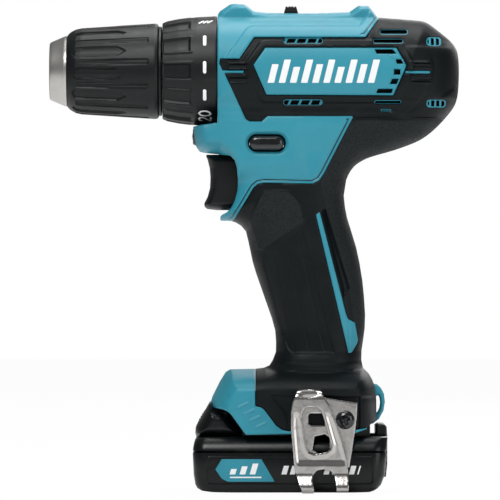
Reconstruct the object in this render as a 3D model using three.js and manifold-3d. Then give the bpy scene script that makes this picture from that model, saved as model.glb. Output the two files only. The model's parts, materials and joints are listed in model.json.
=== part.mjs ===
// A compact two-speed cordless drill driver: keyless chuck, torque ring, planetary gearbox, can motor,
// clamshell housing with a moulded soft grip, and a slide-on battery that the drill stands on.
//
// Millimetres, +Z up. The chuck points to -X and the left side of the tool faces -Y.
// The origin is the middle of the battery's underside, on the plane where the two housing halves meet.

import * as THREE from "three";
import { mergeVertices } from "three/addons/utils/BufferGeometryUtils.js";
import Module from "manifold-3d";

const wasm = await Module();
wasm.setup();

// ---------------------------------------------------------------- driving dimensions

const AXIS_Z = 186.3; // height of the spindle axis
const GAP = 0.3; // clearance between pieces that touch
const FRONT_X = -32.5; // front face of the housing, behind the torque ring
const HALF_GAP = 0.15; // each housing half stops this far from the parting plane

const NOSE_X = -107.2;
const SLEEVE_X = [-99.7, -58.7];
const RING_X = [-57.1, -33.3];
const JAW_TILT = (17 * Math.PI) / 180;
const JAW_RADIUS = 3.1;
const BIT_RADIUS = 5; // the chuck is stored open to a 10 mm bit

const STAGE_1 = { sun: 8, planet: 16, ring: 40, module: 0.79 };
const STAGE_2 = { sun: 10, planet: 14, ring: 38, module: 0.83 };
const PLANETS = 3;
const RING_GEAR_RADIUS = 17.8;

const BATTERY_HALF_WIDTH = 32;
const CELL_RADIUS = 9.1;
const CELL_LENGTH = 65;
const CELLS = 3;

// ---------------------------------------------------------------- materials

const paint = (color, roughness, metalness = 0) =>
  new THREE.MeshStandardMaterial({ color, roughness, metalness });

const tealPlastic = paint(0x2b98ad, 0.45);
const softBlack = paint(0x1b2023, 0.8);
const blackPlastic = paint(0x15181a, 0.5);
const glossBlack = paint(0x0c0e10, 0.2);
const brightSteel = paint(0xc8c6c2, 0.3, 1);
const darkSteel = paint(0x4a4d50, 0.45, 1);
const copper = paint(0xb06a3a, 0.4, 1);
const clearLens = paint(0xdfe8ea, 0.1);
const greenBoard = paint(0x1f5a38, 0.6);
const cellWrap = paint(0x2f9a5c, 0.4);
const redWire = paint(0xb3201c, 0.5);
const blackWire = paint(0x111213, 0.5);

// ---------------------------------------------------------------- shape helpers

// A closed three.js geometry as a manifold solid with its faces pointing out.
function solid(geometry) {
  const bare = geometry.index ? geometry.toNonIndexed() : geometry.clone();
  for (const name of Object.keys(bare.attributes)) {
    if (name !== "position") bare.deleteAttribute(name);
  }
  const merged = mergeVertices(bare, 1e-4);
  const triVerts = new Uint32Array(merged.index.array);
  const make = () =>
    new wasm.Manifold(
      new wasm.Mesh({ numProp: 3, vertProperties: merged.attributes.position.array, triVerts }),
    );
  const made = make();
  if (made.volume() >= 0) return made;
  for (let i = 0; i < triVerts.length; i += 3) {
    [triVerts[i + 1], triVerts[i + 2]] = [triVerts[i + 2], triVerts[i + 1]];
  }
  return make();
}

const union = (first, ...others) => others.reduce((sum, s) => sum.add(s), first);
const cut = (first, ...others) => others.reduce((sum, s) => sum.subtract(s), first);

function geometryOf(manifold) {
  const mesh = manifold.getMesh();
  const stride = mesh.numProp;
  const corners = new Float32Array(mesh.numVert * 3);
  for (let i = 0; i < mesh.numVert; i++) {
    corners.set(mesh.vertProperties.subarray(i * stride, i * stride + 3), i * 3);
  }
  const geometry = new THREE.BufferGeometry();
  geometry.setAttribute("position", new THREE.BufferAttribute(corners, 3));
  geometry.setIndex(new THREE.BufferAttribute(mesh.triVerts, 1));
  const flat = geometry.toNonIndexed();
  flat.computeVertexNormals();
  return flat;
}

const drill = new THREE.Group();

function add(name, shape, material, parent = drill) {
  const mesh = new THREE.Mesh(geometryOf(shape), material);
  mesh.name = name;
  parent.add(mesh);
  return mesh;
}

// A solid turned about the X axis, or a line beside it through (y, z), from [x, radius] pairs.
// A profile that isn't a closed loop is closed on the axis.
function turned(profile, segments = 24, y = 0, z = 0) {
  const points = profile.map(([x, r]) => new THREE.Vector2(r, x));
  const last = points[points.length - 1];
  if (!points[0].equals(last)) {
    if (points[0].x > 0) points.unshift(new THREE.Vector2(0, points[0].y));
    if (last.x > 0) points.push(new THREE.Vector2(0, last.y));
  }
  return solid(new THREE.LatheGeometry(points, segments).rotateZ(-Math.PI / 2).translate(0, y, z));
}

// A plain cylinder along X, on the axis or through (y, z).
const rod = (x0, x1, radius, segments = 24, y = 0, z = 0) =>
  turned([[x0, radius], [x1, radius]], segments, y, z);

// A plain ring about the X axis.
const washer = (x0, x1, inner, outer, segments = 20) =>
  turned([[x0, inner], [x0, outer], [x1, outer], [x1, inner], [x0, inner]], segments);

const shapeOf = (outline) => new THREE.Shape(outline.map(([a, b]) => new THREE.Vector2(a, b)));

// An outline in the XZ plane extruded along Y, with an optional bevel on both faces.
function slab(outline, y0, y1, bevel = 0) {
  const geometry = new THREE.ExtrudeGeometry(shapeOf(outline), {
    depth: y1 - y0 - 2 * bevel,
    bevelEnabled: bevel > 0,
    bevelThickness: bevel,
    bevelSize: bevel,
    bevelOffset: -bevel,
    bevelSegments: 1,
  });
  return solid(geometry.rotateX(Math.PI / 2).translate(0, y1 - bevel, 0));
}

// A box from its lowest and highest corners.
function block([x0, y0, z0], [x1, y1, z1]) {
  const box = new THREE.BoxGeometry(x1 - x0, y1 - y0, z1 - z0);
  return solid(box.translate((x0 + x1) / 2, (y0 + y1) / 2, (z0 + z1) / 2));
}

// A cylinder along Y through (x, z).
function pegY(x, z, radius, y0, y1, segments = 10) {
  const cylinder = new THREE.CylinderGeometry(radius, radius, y1 - y0, segments);
  return solid(cylinder.translate(x, (y0 + y1) / 2, z));
}

// A stadium in the XZ plane: a bar of the given length and height with round ends.
function stadium(x, z, length, height, steps = 5) {
  const r = height / 2;
  const outline = [];
  for (const side of [1, -1]) {
    for (let i = 0; i <= steps; i++) {
      const a = side * (Math.PI / 2) - (i / steps) * Math.PI;
      outline.push([x + side * (length / 2 - r) + r * Math.cos(a), z + r * Math.sin(a)]);
    }
  }
  return outline;
}

// Each corner of an outline moved inwards by the same distance from both of its edges.
function inset(outline, distance) {
  const area = THREE.ShapeUtils.area(outline.map(([a, b]) => new THREE.Vector2(a, b)));
  const side = Math.sign(area) * distance;
  return outline.map((point, i) => {
    const before = outline[(i + outline.length - 1) % outline.length];
    const after = outline[(i + 1) % outline.length];
    const a = new THREE.Vector2(point[0] - before[0], point[1] - before[1]).normalize();
    const b = new THREE.Vector2(after[0] - point[0], after[1] - point[1]).normalize();
    const bisector = new THREE.Vector2(-a.y - b.y, a.x + b.x);
    const scale = (2 * side) / bisector.lengthSq();
    return [point[0] + bisector.x * scale, point[1] + bisector.y * scale];
  });
}

// A skin over rings of points, each with the same number, closed at both ends by a fan.
function loft(rings) {
  const n = rings[0].length;
  const centre = (ring) => ring.reduce((sum, p) => sum.add(p), new THREE.Vector3()).divideScalar(n);
  const points = [...rings.flat(), centre(rings[0]), centre(rings[rings.length - 1])];
  const start = points.length - 2;
  const index = [];
  for (let i = 0; i < n; i++) {
    const j = (i + 1) % n;
    for (let k = 0; k < rings.length - 1; k++) {
      const a = k * n;
      const b = a + n;
      index.push(a + i, a + j, b + j, a + i, b + j, b + i);
    }
    const top = (rings.length - 1) * n;
    index.push(start, j, i, start + 1, top + i, top + j);
  }
  const geometry = new THREE.BufferGeometry().setFromPoints(points);
  geometry.setIndex(index);
  return solid(geometry);
}

// One value of a superellipse: the cosine or sine of an angle, raised so that a higher power is squarer.
const squared = (value, power) => Math.sign(value) * Math.abs(value) ** (2 / power);

// ---------------------------------------------------------------- housing surfaces

// Cross-sections of the barrel along X: [x, top, bottom, half width].
const BARREL = [
  [FRONT_X, 210.8, 162.2, 25.4], [-24, 211.8, 162, 26.6], [42, 210.6, 162, 26.8],
  [57, 208.4, 161.5, 25.2], [65.5, 204.2, 162.5, 20.5], [71, 199.6, 168, 13.6],
  [74.7, 189, 181, 2.5],
];

// Level slices of the handle, from the base to the barrel: [z, front, rear, half width].
const HANDLE = [
  [30, -14, 32, 20], [54.2, -12, 32.6, 20.5], [58.5, -7.6, 31.4, 18.3],
  [65, -6.6, 31.9, 17.2], [78, -8.9, 33, 17.1], [92, -14, 32, 17.6],
  [115, -20, 26.9, 18.8], [118.8, -24.4, 25.7, 19], [121.6, -30.6, 24.8, 19.1],
  [124.4, -27.6, 24.3, 19.2], [132, -24, 23.5, 19.6], [142, -24, 27, 20.2],
  [149.4, -28.4, 40, 20.6], [150.2, -39.4, 42, 20.6],
  [154.5, -42.6, 54.5, 21.1], [162.5, -43.6, 66.5, 23], [167, -34, 64, 24],
];

// Level slices of the flared base: [z, front, rear, half width].
const BASE = [
  [26, -27.5, 32, 30.8], [30, -32, 36.8, 32.3], [42, -35.2, 38, 32.2],
  [49, -31.6, 36.2, 29.4], [52.5, -29, 34.5, 25.6], [53.8, -26.8, 33.6, 22],
];

// The hollow inside the housing: a round bore along the barrel as [x, radius], and level slices of the
// handle and the base as [z, front, rear, half width].
const BARREL_HOLLOW = [[-27, 21.2], [50, 21.2], [58, 18.6], [68, 8]];
const HANDLE_HOLLOW = [
  [38, -9, 27.5, 14], [62, -2.6, 27.5, 12.6], [78, -4.4, 28.5, 12.6], [104, -13.4, 25.5, 13.6],
  [116, -16, 22.5, 14.4], [137, -19.2, 19.5, 15.6], [171, -16.6, 30, 17.2],
];
const BASE_HOLLOW = [[37.2, -26, 31, 26.5], [42, -26, 31, 26.5], [48, -22, 30, 23]];
const LINER = 2; // wall of the hard shell under the soft grip

// One level of a loft: a squarish ring between two X limits. A higher power is squarer.
function levelRing(front, rear, half, z, power, count) {
  return Array.from({ length: count }, (_, i) => {
    const a = (i / count) * 2 * Math.PI;
    const x = ((rear - front) / 2) * squared(Math.cos(a), power);
    return new THREE.Vector3((front + rear) / 2 + x, half * squared(Math.sin(a), power), z);
  });
}

function barrel() {
  return loft(
    BARREL.map(([x, top, bottom, half]) =>
      levelRing(bottom, top, half, 0, 2.3, 20).map((p) => new THREE.Vector3(x, p.y, p.x)),
    ),
  );
}

// Lofted level slices, grown outwards and upwards by a distance.
function slices(levels, power, count, grow = 0) {
  const last = levels.length - 1;
  return loft(
    levels.map(([z, front, rear, half], k) =>
      levelRing(front - grow, rear + grow, half + grow, k === last ? z + grow : z, power, count),
    ),
  );
}

// The hollow inside the housing, grown by a distance.
function hollow(grow) {
  return union(
    turned(BARREL_HOLLOW.map(([x, r]) => [x, r + grow]), 20, 0, AXIS_Z),
    slices(HANDLE_HOLLOW, 2.5, 12, grow),
    slices(BASE_HOLLOW, 6, 12, grow),
  );
}

// The raised rail on top of the barrel, with a boss at each end.
const TOP_RAIL = [
  [FRONT_X, 200], [FRONT_X, 211.6], [-26.5, 216.2], [-20.4, 216.2], [-16.4, 212.8], [26.4, 212.6],
  [30, 215.5], [34.6, 215.5], [38.8, 209.8], [38.8, 200],
];
const TOP_RAIL_HALF_WIDTH = 11.5;

// Where the soft black covering lies, seen from the side. It runs past the body's outline.
const BLACK_REGION = [
  [-31.3, 191], [-22.8, 191], [-16.3, 200.6], [32.8, 200.6], [39.6, 210.6], [42, 222], [85, 222],
  [85, 31.5], [37, 31.5], [33, 28.4], [-1, 27.2], [-5.6, 28.8], [-12, 36.9], [-15.8, 38.2],
  [-15.8, 58], [-40, 60], [-40, 119], [-26, 119.8], [-17.2, 133.6], [-13, 136.2], [9.5, 136.2],
  [14, 139.6], [27.6, 166], [-10.5, 166], [-13, 163.6], [-18.5, 163.6], [-20.2, 164.8],
  [-31.6, 188.6],
];
const SIDE_PANEL = [
  [-11.6, 195.9], [-16.9, 188.2], [-11, 175.2], [45, 175.2], [50.8, 188], [46.2, 195.9],
];

// The trigger's opening in the front of the handle.
const TRIGGER_WELL = [[-60, 124], [-60, 149.2], [-8, 149.2], [-8, 124]];
const TRIGGER_WELL_HALF = 10.6;

// The battery's wedge and rails slide through this notch from the front.
const WEDGE_NOTCH = [
  [-60, 20], [-60, 42], [-37, 42], [-33.6, 37.2], [-30, 36.8], [-27, 35], [-19.6, 25.2],
  [-19.6, 20],
];
const RAIL_SLOT = { x0: -40, x1: 35.6, half: 22.6, top: 35.2 };
const CATCH_DOOR = { half: 16.6, top: 30.2 };

// Screws that hold the two halves together, at [x, z, seat]. They enter from the right side, and
// the seat is how far from the parting plane each head rests.
const HOUSING_SCREWS = [
  [-22.6, 211.4, 7], [32.3, 210.6, 7], [-30.5, 156.5, 12], [-1, 115.6, 10.5], [20, 92, 10.5], [-8, 48, 10.5],
];
const SCREW_REACH = 6; // depth of each screw in the left half
const SCREW_HEAD = { radius: 3, height: 2.2 };
const POST_RADIUS = 4.7;

// Cooling slots through each side, at [x, z, length, height].
const VENTS = [
  [5.2, 198.8, 17, 2.4], [5.2, 171.9, 17, 2.4], [42.6, 198.8, 12.5, 2.2], [42.6, 171.9, 12.5, 2.2],
  [63, 199, 6.5, 3], [63.8, 171.4, 7, 3],
];

const CLIP_SCREW = { x: 23.6, z: 32.2 };
const LEVER_AT = { x: -10.8, z: 154, length: 15.7, height: 6.6 };
const LENS_AT = { x: -43.2, z: 157.2, radius: 2.6 };
const SELECTOR_SLOT = { x0: -3.6, x1: 12.6, half: 5.2 };

// The rear loop for a wrist strap, seen from the side.
function strapLoop() {
  const outer = [];
  const steps = 7;
  for (let i = 0; i <= steps; i++) {
    const a = Math.PI * (i / steps - 0.5);
    outer.push([34.6 + 7.4 * Math.cos(a), 38.6 + 8.1 * Math.sin(a)]);
  }
  const hole = [[38.3, 42.4], [40.1, 40.4], [40.2, 36.8], [38.3, 34.2]];
  const root = block([31.5, -3.4, 33], [35.5, 3.4, 44.5]);
  return cut(union(slab(outer, -3.4, 3.4), root), slab(hole, -5, 5));
}

// What the housing leaves free: the gearbox's seat, the trigger, the lever, the lens and the battery.
function openings() {
  const seat = rod(-60, -26, 20.6, 24, 0, AXIS_Z);
  const ringRoom = rod(-60, FRONT_X, 25, 24, 0, AXIS_Z);
  const trigger = slab(TRIGGER_WELL, -TRIGGER_WELL_HALF, TRIGGER_WELL_HALF);
  const { x, z, length, height } = LEVER_AT;
  const lever = slab(stadium(x, z, length + 0.8, height + 0.8), -40, 40);
  const lens = rod(-60, -30, LENS_AT.radius + GAP, 12, 0, LENS_AT.z);
  const { x0, x1, half } = SELECTOR_SLOT;
  const slot = block([x0, -half, 205], [x1, half, 225]);
  const notch = slab(WEDGE_NOTCH, -40, 40);
  const rails = block([RAIL_SLOT.x0, -RAIL_SLOT.half, 20], [RAIL_SLOT.x1, RAIL_SLOT.half, RAIL_SLOT.top]);
  const door = block([30, -CATCH_DOOR.half, 20], [60, CATCH_DOOR.half, CATCH_DOOR.top]);
  const below = block([-60, -50, 0], [60, 50, 25.9]);
  return [seat, ringRoom, trigger, lever, lens, slot, notch, rails, door, below];
}

const ventSlots = VENTS.map(([x, z, length, height]) =>
  block([x - length / 2, -40, z - height / 2], [x + length / 2, 40, z + height / 2]),
);

// The soft grip stays clear of the strap loop, which belongs to the hard shell.
const strapRoom = block([31, -3.7, 30], [50, 3.7, 47.3]);
const clipBore = pegY(CLIP_SCREW.x, CLIP_SCREW.z, 2.3, -40, -26);

const whole = union(
  barrel(),
  slices(HANDLE, 2.5, 16),
  slices(BASE, 4.5, 16),
  slab(TOP_RAIL, -TOP_RAIL_HALF_WIDTH, TOP_RAIL_HALF_WIDTH, 1.5),
);
const free = [...openings(), ...ventSlots, clipBore];

const screwBores = HOUSING_SCREWS.flatMap(([x, z, seat]) => [
  pegY(x, z, 1.9, -SCREW_REACH - 1, 20, 6),
  pegY(x, z, SCREW_HEAD.radius + 0.6, seat, 40, 8),
]);

// The hard shell has a post round each screw, left standing in the hollow.
function hardShell() {
  const region = cut(slab(BLACK_REGION, -60, 60), slab(SIDE_PANEL, -50, 50));
  const posts = HOUSING_SCREWS.map(([x, z]) => pegY(x, z, POST_RADIUS, -30, 30, 8));
  const shell = union(cut(whole, region), hollow(LINER), strapLoop());
  return cut(shell, cut(hollow(0), ...posts), ...free, ...screwBores);
}

function softGrip() {
  const covered = cut(slab(inset(BLACK_REGION, GAP), -60, 60), slab(inset(SIDE_PANEL, -GAP), -50, 50));
  return cut(whole.intersect(covered), hollow(LINER + GAP), strapRoom, ...free, ...screwBores);
}

const hard = hardShell();
const soft = softGrip();
const leftHalf = block([-120, -60, -10], [100, -HALF_GAP, 240]);
const rightHalf = block([-120, HALF_GAP, -10], [100, 60, 240]);

add("housing_left", hard.intersect(leftHalf), tealPlastic);
add("housing_right", hard.intersect(rightHalf), tealPlastic);
add("grip_left", soft.intersect(leftHalf), softBlack);
add("grip_right", soft.intersect(rightHalf), softBlack);

// ---------------------------------------------------------------- screws

// A pan-head screw along Y with a cross recess. `out` is the Y direction its head faces.
function panScrew(out, shaft, length, { radius, height }) {
  const along = (from, to) => (out > 0 ? [from, to] : [-to, -from]);
  const [s0, s1] = along(-length, 0.5);
  const [h0, h1] = along(0, height);
  const [c0, c1] = along(height - 1, height + 1);
  const arm = radius * 0.6;
  return cut(
    union(pegY(0, 0, shaft, s0, s1, 6), pegY(0, 0, radius, h0, h1, 12)),
    block([-arm, c0, -0.5], [arm, c1, 0.5]),
    block([-0.5, c0, -arm], [0.5, c1, arm]),
  );
}

HOUSING_SCREWS.forEach(([x, z, seat], i) => {
  const shape = panScrew(1, 1.5, seat + SCREW_REACH, SCREW_HEAD);
  add(`housing_screw_${i + 1}`, shape, darkSteel).position.set(x, seat + GAP, z);
});

// ---------------------------------------------------------------- driveline, on the spindle axis

const driveline = new THREE.Group();
driveline.position.z = AXIS_Z;
drill.add(driveline);

const polar = (r, angle) => new THREE.Vector2(-r * Math.sin(angle), r * Math.cos(angle));

// Straight-flanked teeth about the X axis. `first` is the angle of one tooth's middle, from +Y towards +Z.
function toothOutline(teeth, module, first, internal = false) {
  const pitch = (teeth * module) / 2;
  const tip = internal ? pitch - 0.75 * module : pitch + 0.8 * module;
  const root = internal ? pitch + 1.05 * module : pitch - 1.1 * module;
  const step = (2 * Math.PI) / teeth;
  const outline = [];
  for (let i = 0; i < teeth; i++) {
    const middle = first + i * step;
    outline.push(polar(root, middle - 0.3 * step));
    outline.push(polar(tip, middle - 0.11 * step));
    outline.push(polar(tip, middle + 0.11 * step));
    outline.push(polar(root, middle + 0.3 * step));
  }
  return outline;
}

function extrudeX(shape, x0, x1) {
  const options = { depth: x1 - x0, bevelEnabled: false, curveSegments: 5 };
  const geometry = new THREE.ExtrudeGeometry(shape, options);
  return solid(geometry.rotateY(Math.PI / 2).translate(x0, 0, 0));
}

function roundHole(radius) {
  const hole = new THREE.Path();
  hole.absarc(0, 0, radius, 0, 2 * Math.PI, true);
  return hole;
}

function externalGear({ teeth, module, first, x0, x1, bore }) {
  const shape = new THREE.Shape(toothOutline(teeth, module, first));
  if (bore) shape.holes.push(roundHole(bore));
  return extrudeX(shape, x0, x1);
}

function ringGear({ ring, planet, module }, x0, x1) {
  const halfTooth = planet % 2 ? Math.PI / ring : 0;
  const shape = new THREE.Shape(
    Array.from({ length: 24 }, (_, i) => polar(RING_GEAR_RADIUS, (i / 24) * 2 * Math.PI)),
  );
  shape.holes.push(new THREE.Path(toothOutline(ring, module, halfTooth, true)));
  return extrudeX(shape, x0, x1);
}

const planetOrbit = ({ sun, planet, module }) => ((sun + planet) * module) / 2;
const planetAngle = (k) => (k * 2 * Math.PI) / PLANETS;

// The angle that puts planet k in mesh with a sun that has a tooth at angle 0.
function meshAngle({ sun, planet }, k) {
  const angle = planetAngle(k);
  const sunPhase = (angle * sun) / (2 * Math.PI);
  return angle + Math.PI - ((2 * Math.PI) / planet) * (0.5 - sunPhase);
}

function addPlanets(name, stage, x0, x1) {
  for (let k = 0; k < PLANETS; k++) {
    const { planet: teeth, module } = stage;
    const gear = externalGear({ teeth, module, first: meshAngle(stage, k), x0, x1, bore: PIN_RADIUS + GAP });
    const mesh = add(`${name}_${k + 1}`, gear, brightSteel, driveline);
    const orbit = planetOrbit(stage);
    mesh.position.set(0, orbit * Math.cos(planetAngle(k)), orbit * Math.sin(planetAngle(k)));
  }
}

const PIN_RADIUS = 1.8;
function carrierPins(stage, x0, x1) {
  const orbit = planetOrbit(stage);
  return Array.from({ length: PLANETS }, (_, k) =>
    rod(x0, x1, PIN_RADIUS, 8, orbit * Math.cos(planetAngle(k)), orbit * Math.sin(planetAngle(k))),
  );
}

// Chuck body: a steel nose and core with a bit bore, a thread bore and three slanted jaw channels.
const JAWS = 3;
const jawAngle = (k) => (k * 2 * Math.PI) / JAWS + Math.PI / 2;
const JAW = { tip: -98.5, length: 25.5, axisAtTip: BIT_RADIUS + 1.6, closing: 4.4 };

// A cylinder on jaw k's slanted axis, from `from` to `to` measured back from the closed tip.
function jawRod(k, radius, from, to) {
  const bar = new THREE.CylinderGeometry(radius, radius, to - from, 10);
  bar.rotateZ(-Math.PI / 2).translate((from + to) / 2, 0, 0);
  bar.rotateZ(JAW_TILT).translate(JAW.tip, JAW.axisAtTip, 0);
  return solid(bar.rotateX(jawAngle(k)));
}

function chuckBody() {
  const core = turned([
    [NOSE_X, 11.6], [NOSE_X + 1.2, 12.9], [-100.1, 15.7], [-99.7, 15.7], [-99.7, 13.6], [-59, 13.6],
  ], 28);
  const bitBore = rod(-120, -82, BIT_RADIUS + 0.5, 18);
  const threadBore = rod(-75, -50, 5, 16);
  const screwBore = rod(-83, -74, 2.6, 12);
  const channels = Array.from({ length: JAWS }, (_, k) => jawRod(k, JAW_RADIUS + GAP, -25, 60));
  return cut(core, bitBore, threadBore, screwBore, ...channels);
}
add("chuck_body", chuckBody(), brightSteel, driveline);

// The third of a turn that jaw k keeps to, so that the jaws clear each other when they close.
function jawWedge(k) {
  const apex = JAW.closing + GAP;
  const outer = 30;
  const spread = (outer - apex) * Math.tan(Math.PI / 3);
  const corners = [[apex, 0], [outer, spread], [outer, -spread]];
  const a = jawAngle(k);
  const turn = ([r, side]) =>
    new THREE.Vector2(-r * Math.sin(a) - side * Math.cos(a), r * Math.cos(a) - side * Math.sin(a));
  return extrudeX(new THREE.Shape(corners.map(turn)), JAW.tip, 0);
}

const jawFaceRoom = rod(-130, -50, BIT_RADIUS, 18);
for (let k = 0; k < JAWS; k++) {
  const jaw = cut(jawRod(k, JAW_RADIUS, -2, JAW.length).intersect(jawWedge(k)), jawFaceRoom);
  add(`jaw_${k + 1}`, jaw, brightSteel, driveline);
}

// Twelve shallow finger grooves run down the sleeve, deepest at the nose end.
const FLUTES = 12;
function chuckSleeve() {
  const [x0, x1] = SLEEVE_X;
  const skin = turned([
    [x0 + GAP, 14], [x0 + GAP, 16], [x0 + 2.2, 17.6], [x0 + 6, 19.1], [x1 - 1.3, 21.3],
    [x1, 20], [x1, 18.7], [-90, 18.7], [-92, 14], [x0 + GAP, 14],
  ], 24);
  const flutes = Array.from({ length: FLUTES }, (_, k) => {
    const a = (k / FLUTES) * 2 * Math.PI;
    const groove = new THREE.CylinderGeometry(1.6, 1.6, 24, 4).rotateZ(-Math.PI / 2 + 0.045);
    groove.translate(-84, 20.7, 0).rotateX(a);
    return solid(groove);
  });
  return cut(skin, ...flutes);
}
add("chuck_sleeve", chuckSleeve(), blackPlastic, driveline);
add("jaw_nut", washer(-77, -72.6, 17.3, 18.4), darkSteel, driveline);
add("chuck_screw", union(rod(-85, -82.4, 4.4, 12), rod(-83, -66, 2.2, 12)), darkSteel, driveline);

// Output spindle with the second stage's planet carrier.
const SPINDLE_RADIUS = 6;
function spindle() {
  const shaft = turned([[-73, 4.6], [-59, 4.6], [-59, SPINDLE_RADIUS], [-33, SPINDLE_RADIUS]], 24);
  const disc = rod(-33, -30.5, 15.5);
  const screwHole = rod(-80, -64, 2.6, 12);
  return cut(union(shaft, disc, ...carrierPins(STAGE_2, -31, -22)), screwHole);
}
add("spindle", spindle(), darkSteel, driveline);
add("spindle_bearing_front", washer(-47.8, -42, SPINDLE_RADIUS + GAP, 11), brightSteel, driveline);
add("spindle_bearing_rear", washer(-40, -34, SPINDLE_RADIUS + GAP, 11), brightSteel, driveline);

add("second_ring_gear", ringGear(STAGE_2, -29.8, -21.2), darkSteel, driveline);
addPlanets("second_planet", STAGE_2, -29.6, -22.4);

const sunWheel = (x0, x1) =>
  externalGear({ teeth: STAGE_2.sun, module: STAGE_2.module, first: 0, x0, x1 });
const firstCarrier = union(
  rod(-20.8, -18.6, 14.5),
  sunWheel(-29.6, -20.6),
  ...carrierPins(STAGE_1, -19, -10),
);
add("first_carrier", firstCarrier, darkSteel, driveline);
add("first_ring_gear", ringGear(STAGE_1, -18.2, -9), darkSteel, driveline);
addPlanets("first_planet", STAGE_1, -18, -10.6);

function gearboxCase() {
  return turned([
    [-54.6, 7], [-54.6, 12.6], [-37.5, 12.6], [-37.5, 19.9], [-6.3, 19.9], [-6.3, 18.1],
    [-33.5, 18.1], [-33.5, 11.3], [-48.2, 11.3], [-48.2, 7], [-54.6, 7],
  ]);
}
add("gearbox_case", gearboxCase(), blackPlastic, driveline);
add("gearbox_plate", washer(-6, -3.4, 7, 19.9), blackPlastic, driveline);

// The clutch: a nut on the ring's thread loads a coil spring against a thrust washer.
add("clutch_nut", washer(-52.6, -50.2, 13.2, 19.4), brightSteel, driveline);
add("thrust_washer", washer(-39.6, -38, 13.2, 19), brightSteel, driveline);

class Helix extends THREE.Curve {
  constructor(radius, x0, x1, turns) {
    super();
    Object.assign(this, { radius, x0, x1, turns });
  }
  getPoint(t, target = new THREE.Vector3()) {
    const a = t * this.turns * 2 * Math.PI;
    const x = this.x0 + t * (this.x1 - this.x0);
    return target.set(x, this.radius * Math.cos(a), this.radius * Math.sin(a));
  }
}

// A round wire along a curve, as an extrusion with closed ends.
function wire(curve, radius, sides, steps) {
  const section = new THREE.Shape();
  for (let i = 0; i < sides; i++) {
    const a = (i / sides) * 2 * Math.PI;
    const move = i ? "lineTo" : "moveTo";
    section[move](radius * Math.cos(a), radius * Math.sin(a));
  }
  return solid(new THREE.ExtrudeGeometry(section, { steps, extrudePath: curve, bevelEnabled: false }));
}
add("clutch_spring", wire(new Helix(15.6, -48.8, -41, 2), 1, 5, 24), brightSteel, driveline);

// The torque ring: a tapered collar with shallow finger pads round its front edge.
const RING_PADS = 12;
function torqueRing() {
  const [x0, x1] = RING_X;
  const collar = turned([
    [x0, 14.2], [x0, 21.4], [x0 + 7, 23.1], [x1 - 0.6, 24.5], [x1, 24.1],
    [x1, 20.6], [-54, 20.6], [-54, 14.2], [x0, 14.2],
  ], 24);
  const pads = Array.from({ length: RING_PADS }, (_, k) => {
    const pad = new THREE.BoxGeometry(11, 4, 5).rotateZ(0.14).translate(-50.4, 24.1, 0);
    return solid(pad.rotateX((k / RING_PADS) * 2 * Math.PI));
  });
  return cut(collar, ...pads);
}
add("torque_ring", torqueRing(), blackPlastic, driveline);

// The motor: a steel can, its end bell, and the armature with its pinion and fan.
const motorCan = turned([
  [-3, 2.3], [-3, 6.5], [0, 6.5], [0, 18.3], [50, 18.3], [50, 16.9], [1.6, 16.9], [1.6, 2.3],
  [-3, 2.3],
], 24);
add("motor_can", motorCan, brightSteel, driveline);
add("motor_end_bell", turned([
  [50.3, 14], [50.3, 18.2], [58, 17.6], [58, 2.3], [55.5, 2.3], [55.5, 14], [50.3, 14],
]), blackPlastic, driveline);
const armature = turned([
  [-18.2, 1.5], [9, 1.5], [9, 12.6], [38, 12.6], [38, 5], [53, 5], [53, 1.5], [59, 1.5],
], 18);
add("armature", armature, copper, driveline);
add("motor_fan", (() => {
  const hub = washer(2.4, 5.6, 1.8, 6, 16);
  const blades = Array.from({ length: 6 }, (_, k) => {
    const blade = new THREE.BoxGeometry(2.4, 10, 1).rotateY(0.3).translate(4, 9.8, 0);
    return solid(blade.rotateX((k / 6) * 2 * Math.PI));
  });
  return union(hub, ...blades);
})(), blackPlastic, driveline);
add("motor_pinion", externalGear({
  teeth: STAGE_1.sun, module: STAGE_1.module, first: 0, x0: -17.8, x1: -7.5, bore: 1.7,
}), brightSteel, driveline);

// ---------------------------------------------------------------- controls

// The trigger's face is a shallow hollow for the finger. The stem behind it enters the switch.
const TRIGGER_SIDE = [
  [-37.3, 148.9], [-36.4, 147], [-35.6, 143], [-35.3, 139], [-35.6, 134], [-36.7, 130.4],
  [-38.4, 127], [-38.4, 125.8], [-37.2, 124.9], [-33, 124.4], [-19, 124.4], [-19, 148.9],
];
const TRIGGER_HALF = 10;
add("trigger", union(
  slab(TRIGGER_SIDE, -TRIGGER_HALF, TRIGGER_HALF, 1.2),
  block([-20, -4, 130], [-12, 4, 143]),
), blackPlastic);
const stemWell = block([-12, -4.4, 129.6], [-5.5, 4.4, 143.4]);
add("switch_body", cut(block([-11.8, -9.5, 122], [13, 9.5, 147.5]), stemWell), blackPlastic);

const { x: leverX, z: leverZ, length: leverLength, height: leverHeight } = LEVER_AT;
const leverOutline = stadium(leverX, leverZ, leverLength, leverHeight);
add("direction_lever", slab(leverOutline, -24.2, 24.2, 0.9), glossBlack);

// The speed selector's knob stands between the two bosses, on a plate that slides inside the shell.
add("speed_selector", union(
  slab([[-3, 205.6], [-3, 212.8], [-1.9, 215.3], [1.9, 215.3], [3, 212.8], [3, 205.6]], -4.4, 4.4),
  block([-3, -4.4, 206.4], [3, 4.4, 207.6]),
), blackPlastic);

const lens = turned([[LENS_AT.x, 1.6], [LENS_AT.x + 0.8, LENS_AT.radius], [-36, LENS_AT.radius]], 16);
add("work_light_lens", lens, clearLens).position.z = LENS_AT.z;

// ---------------------------------------------------------------- base fittings

add("terminal_block", block([4, -11, 37.5], [26, 11, 41.5]), blackPlastic);

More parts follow.
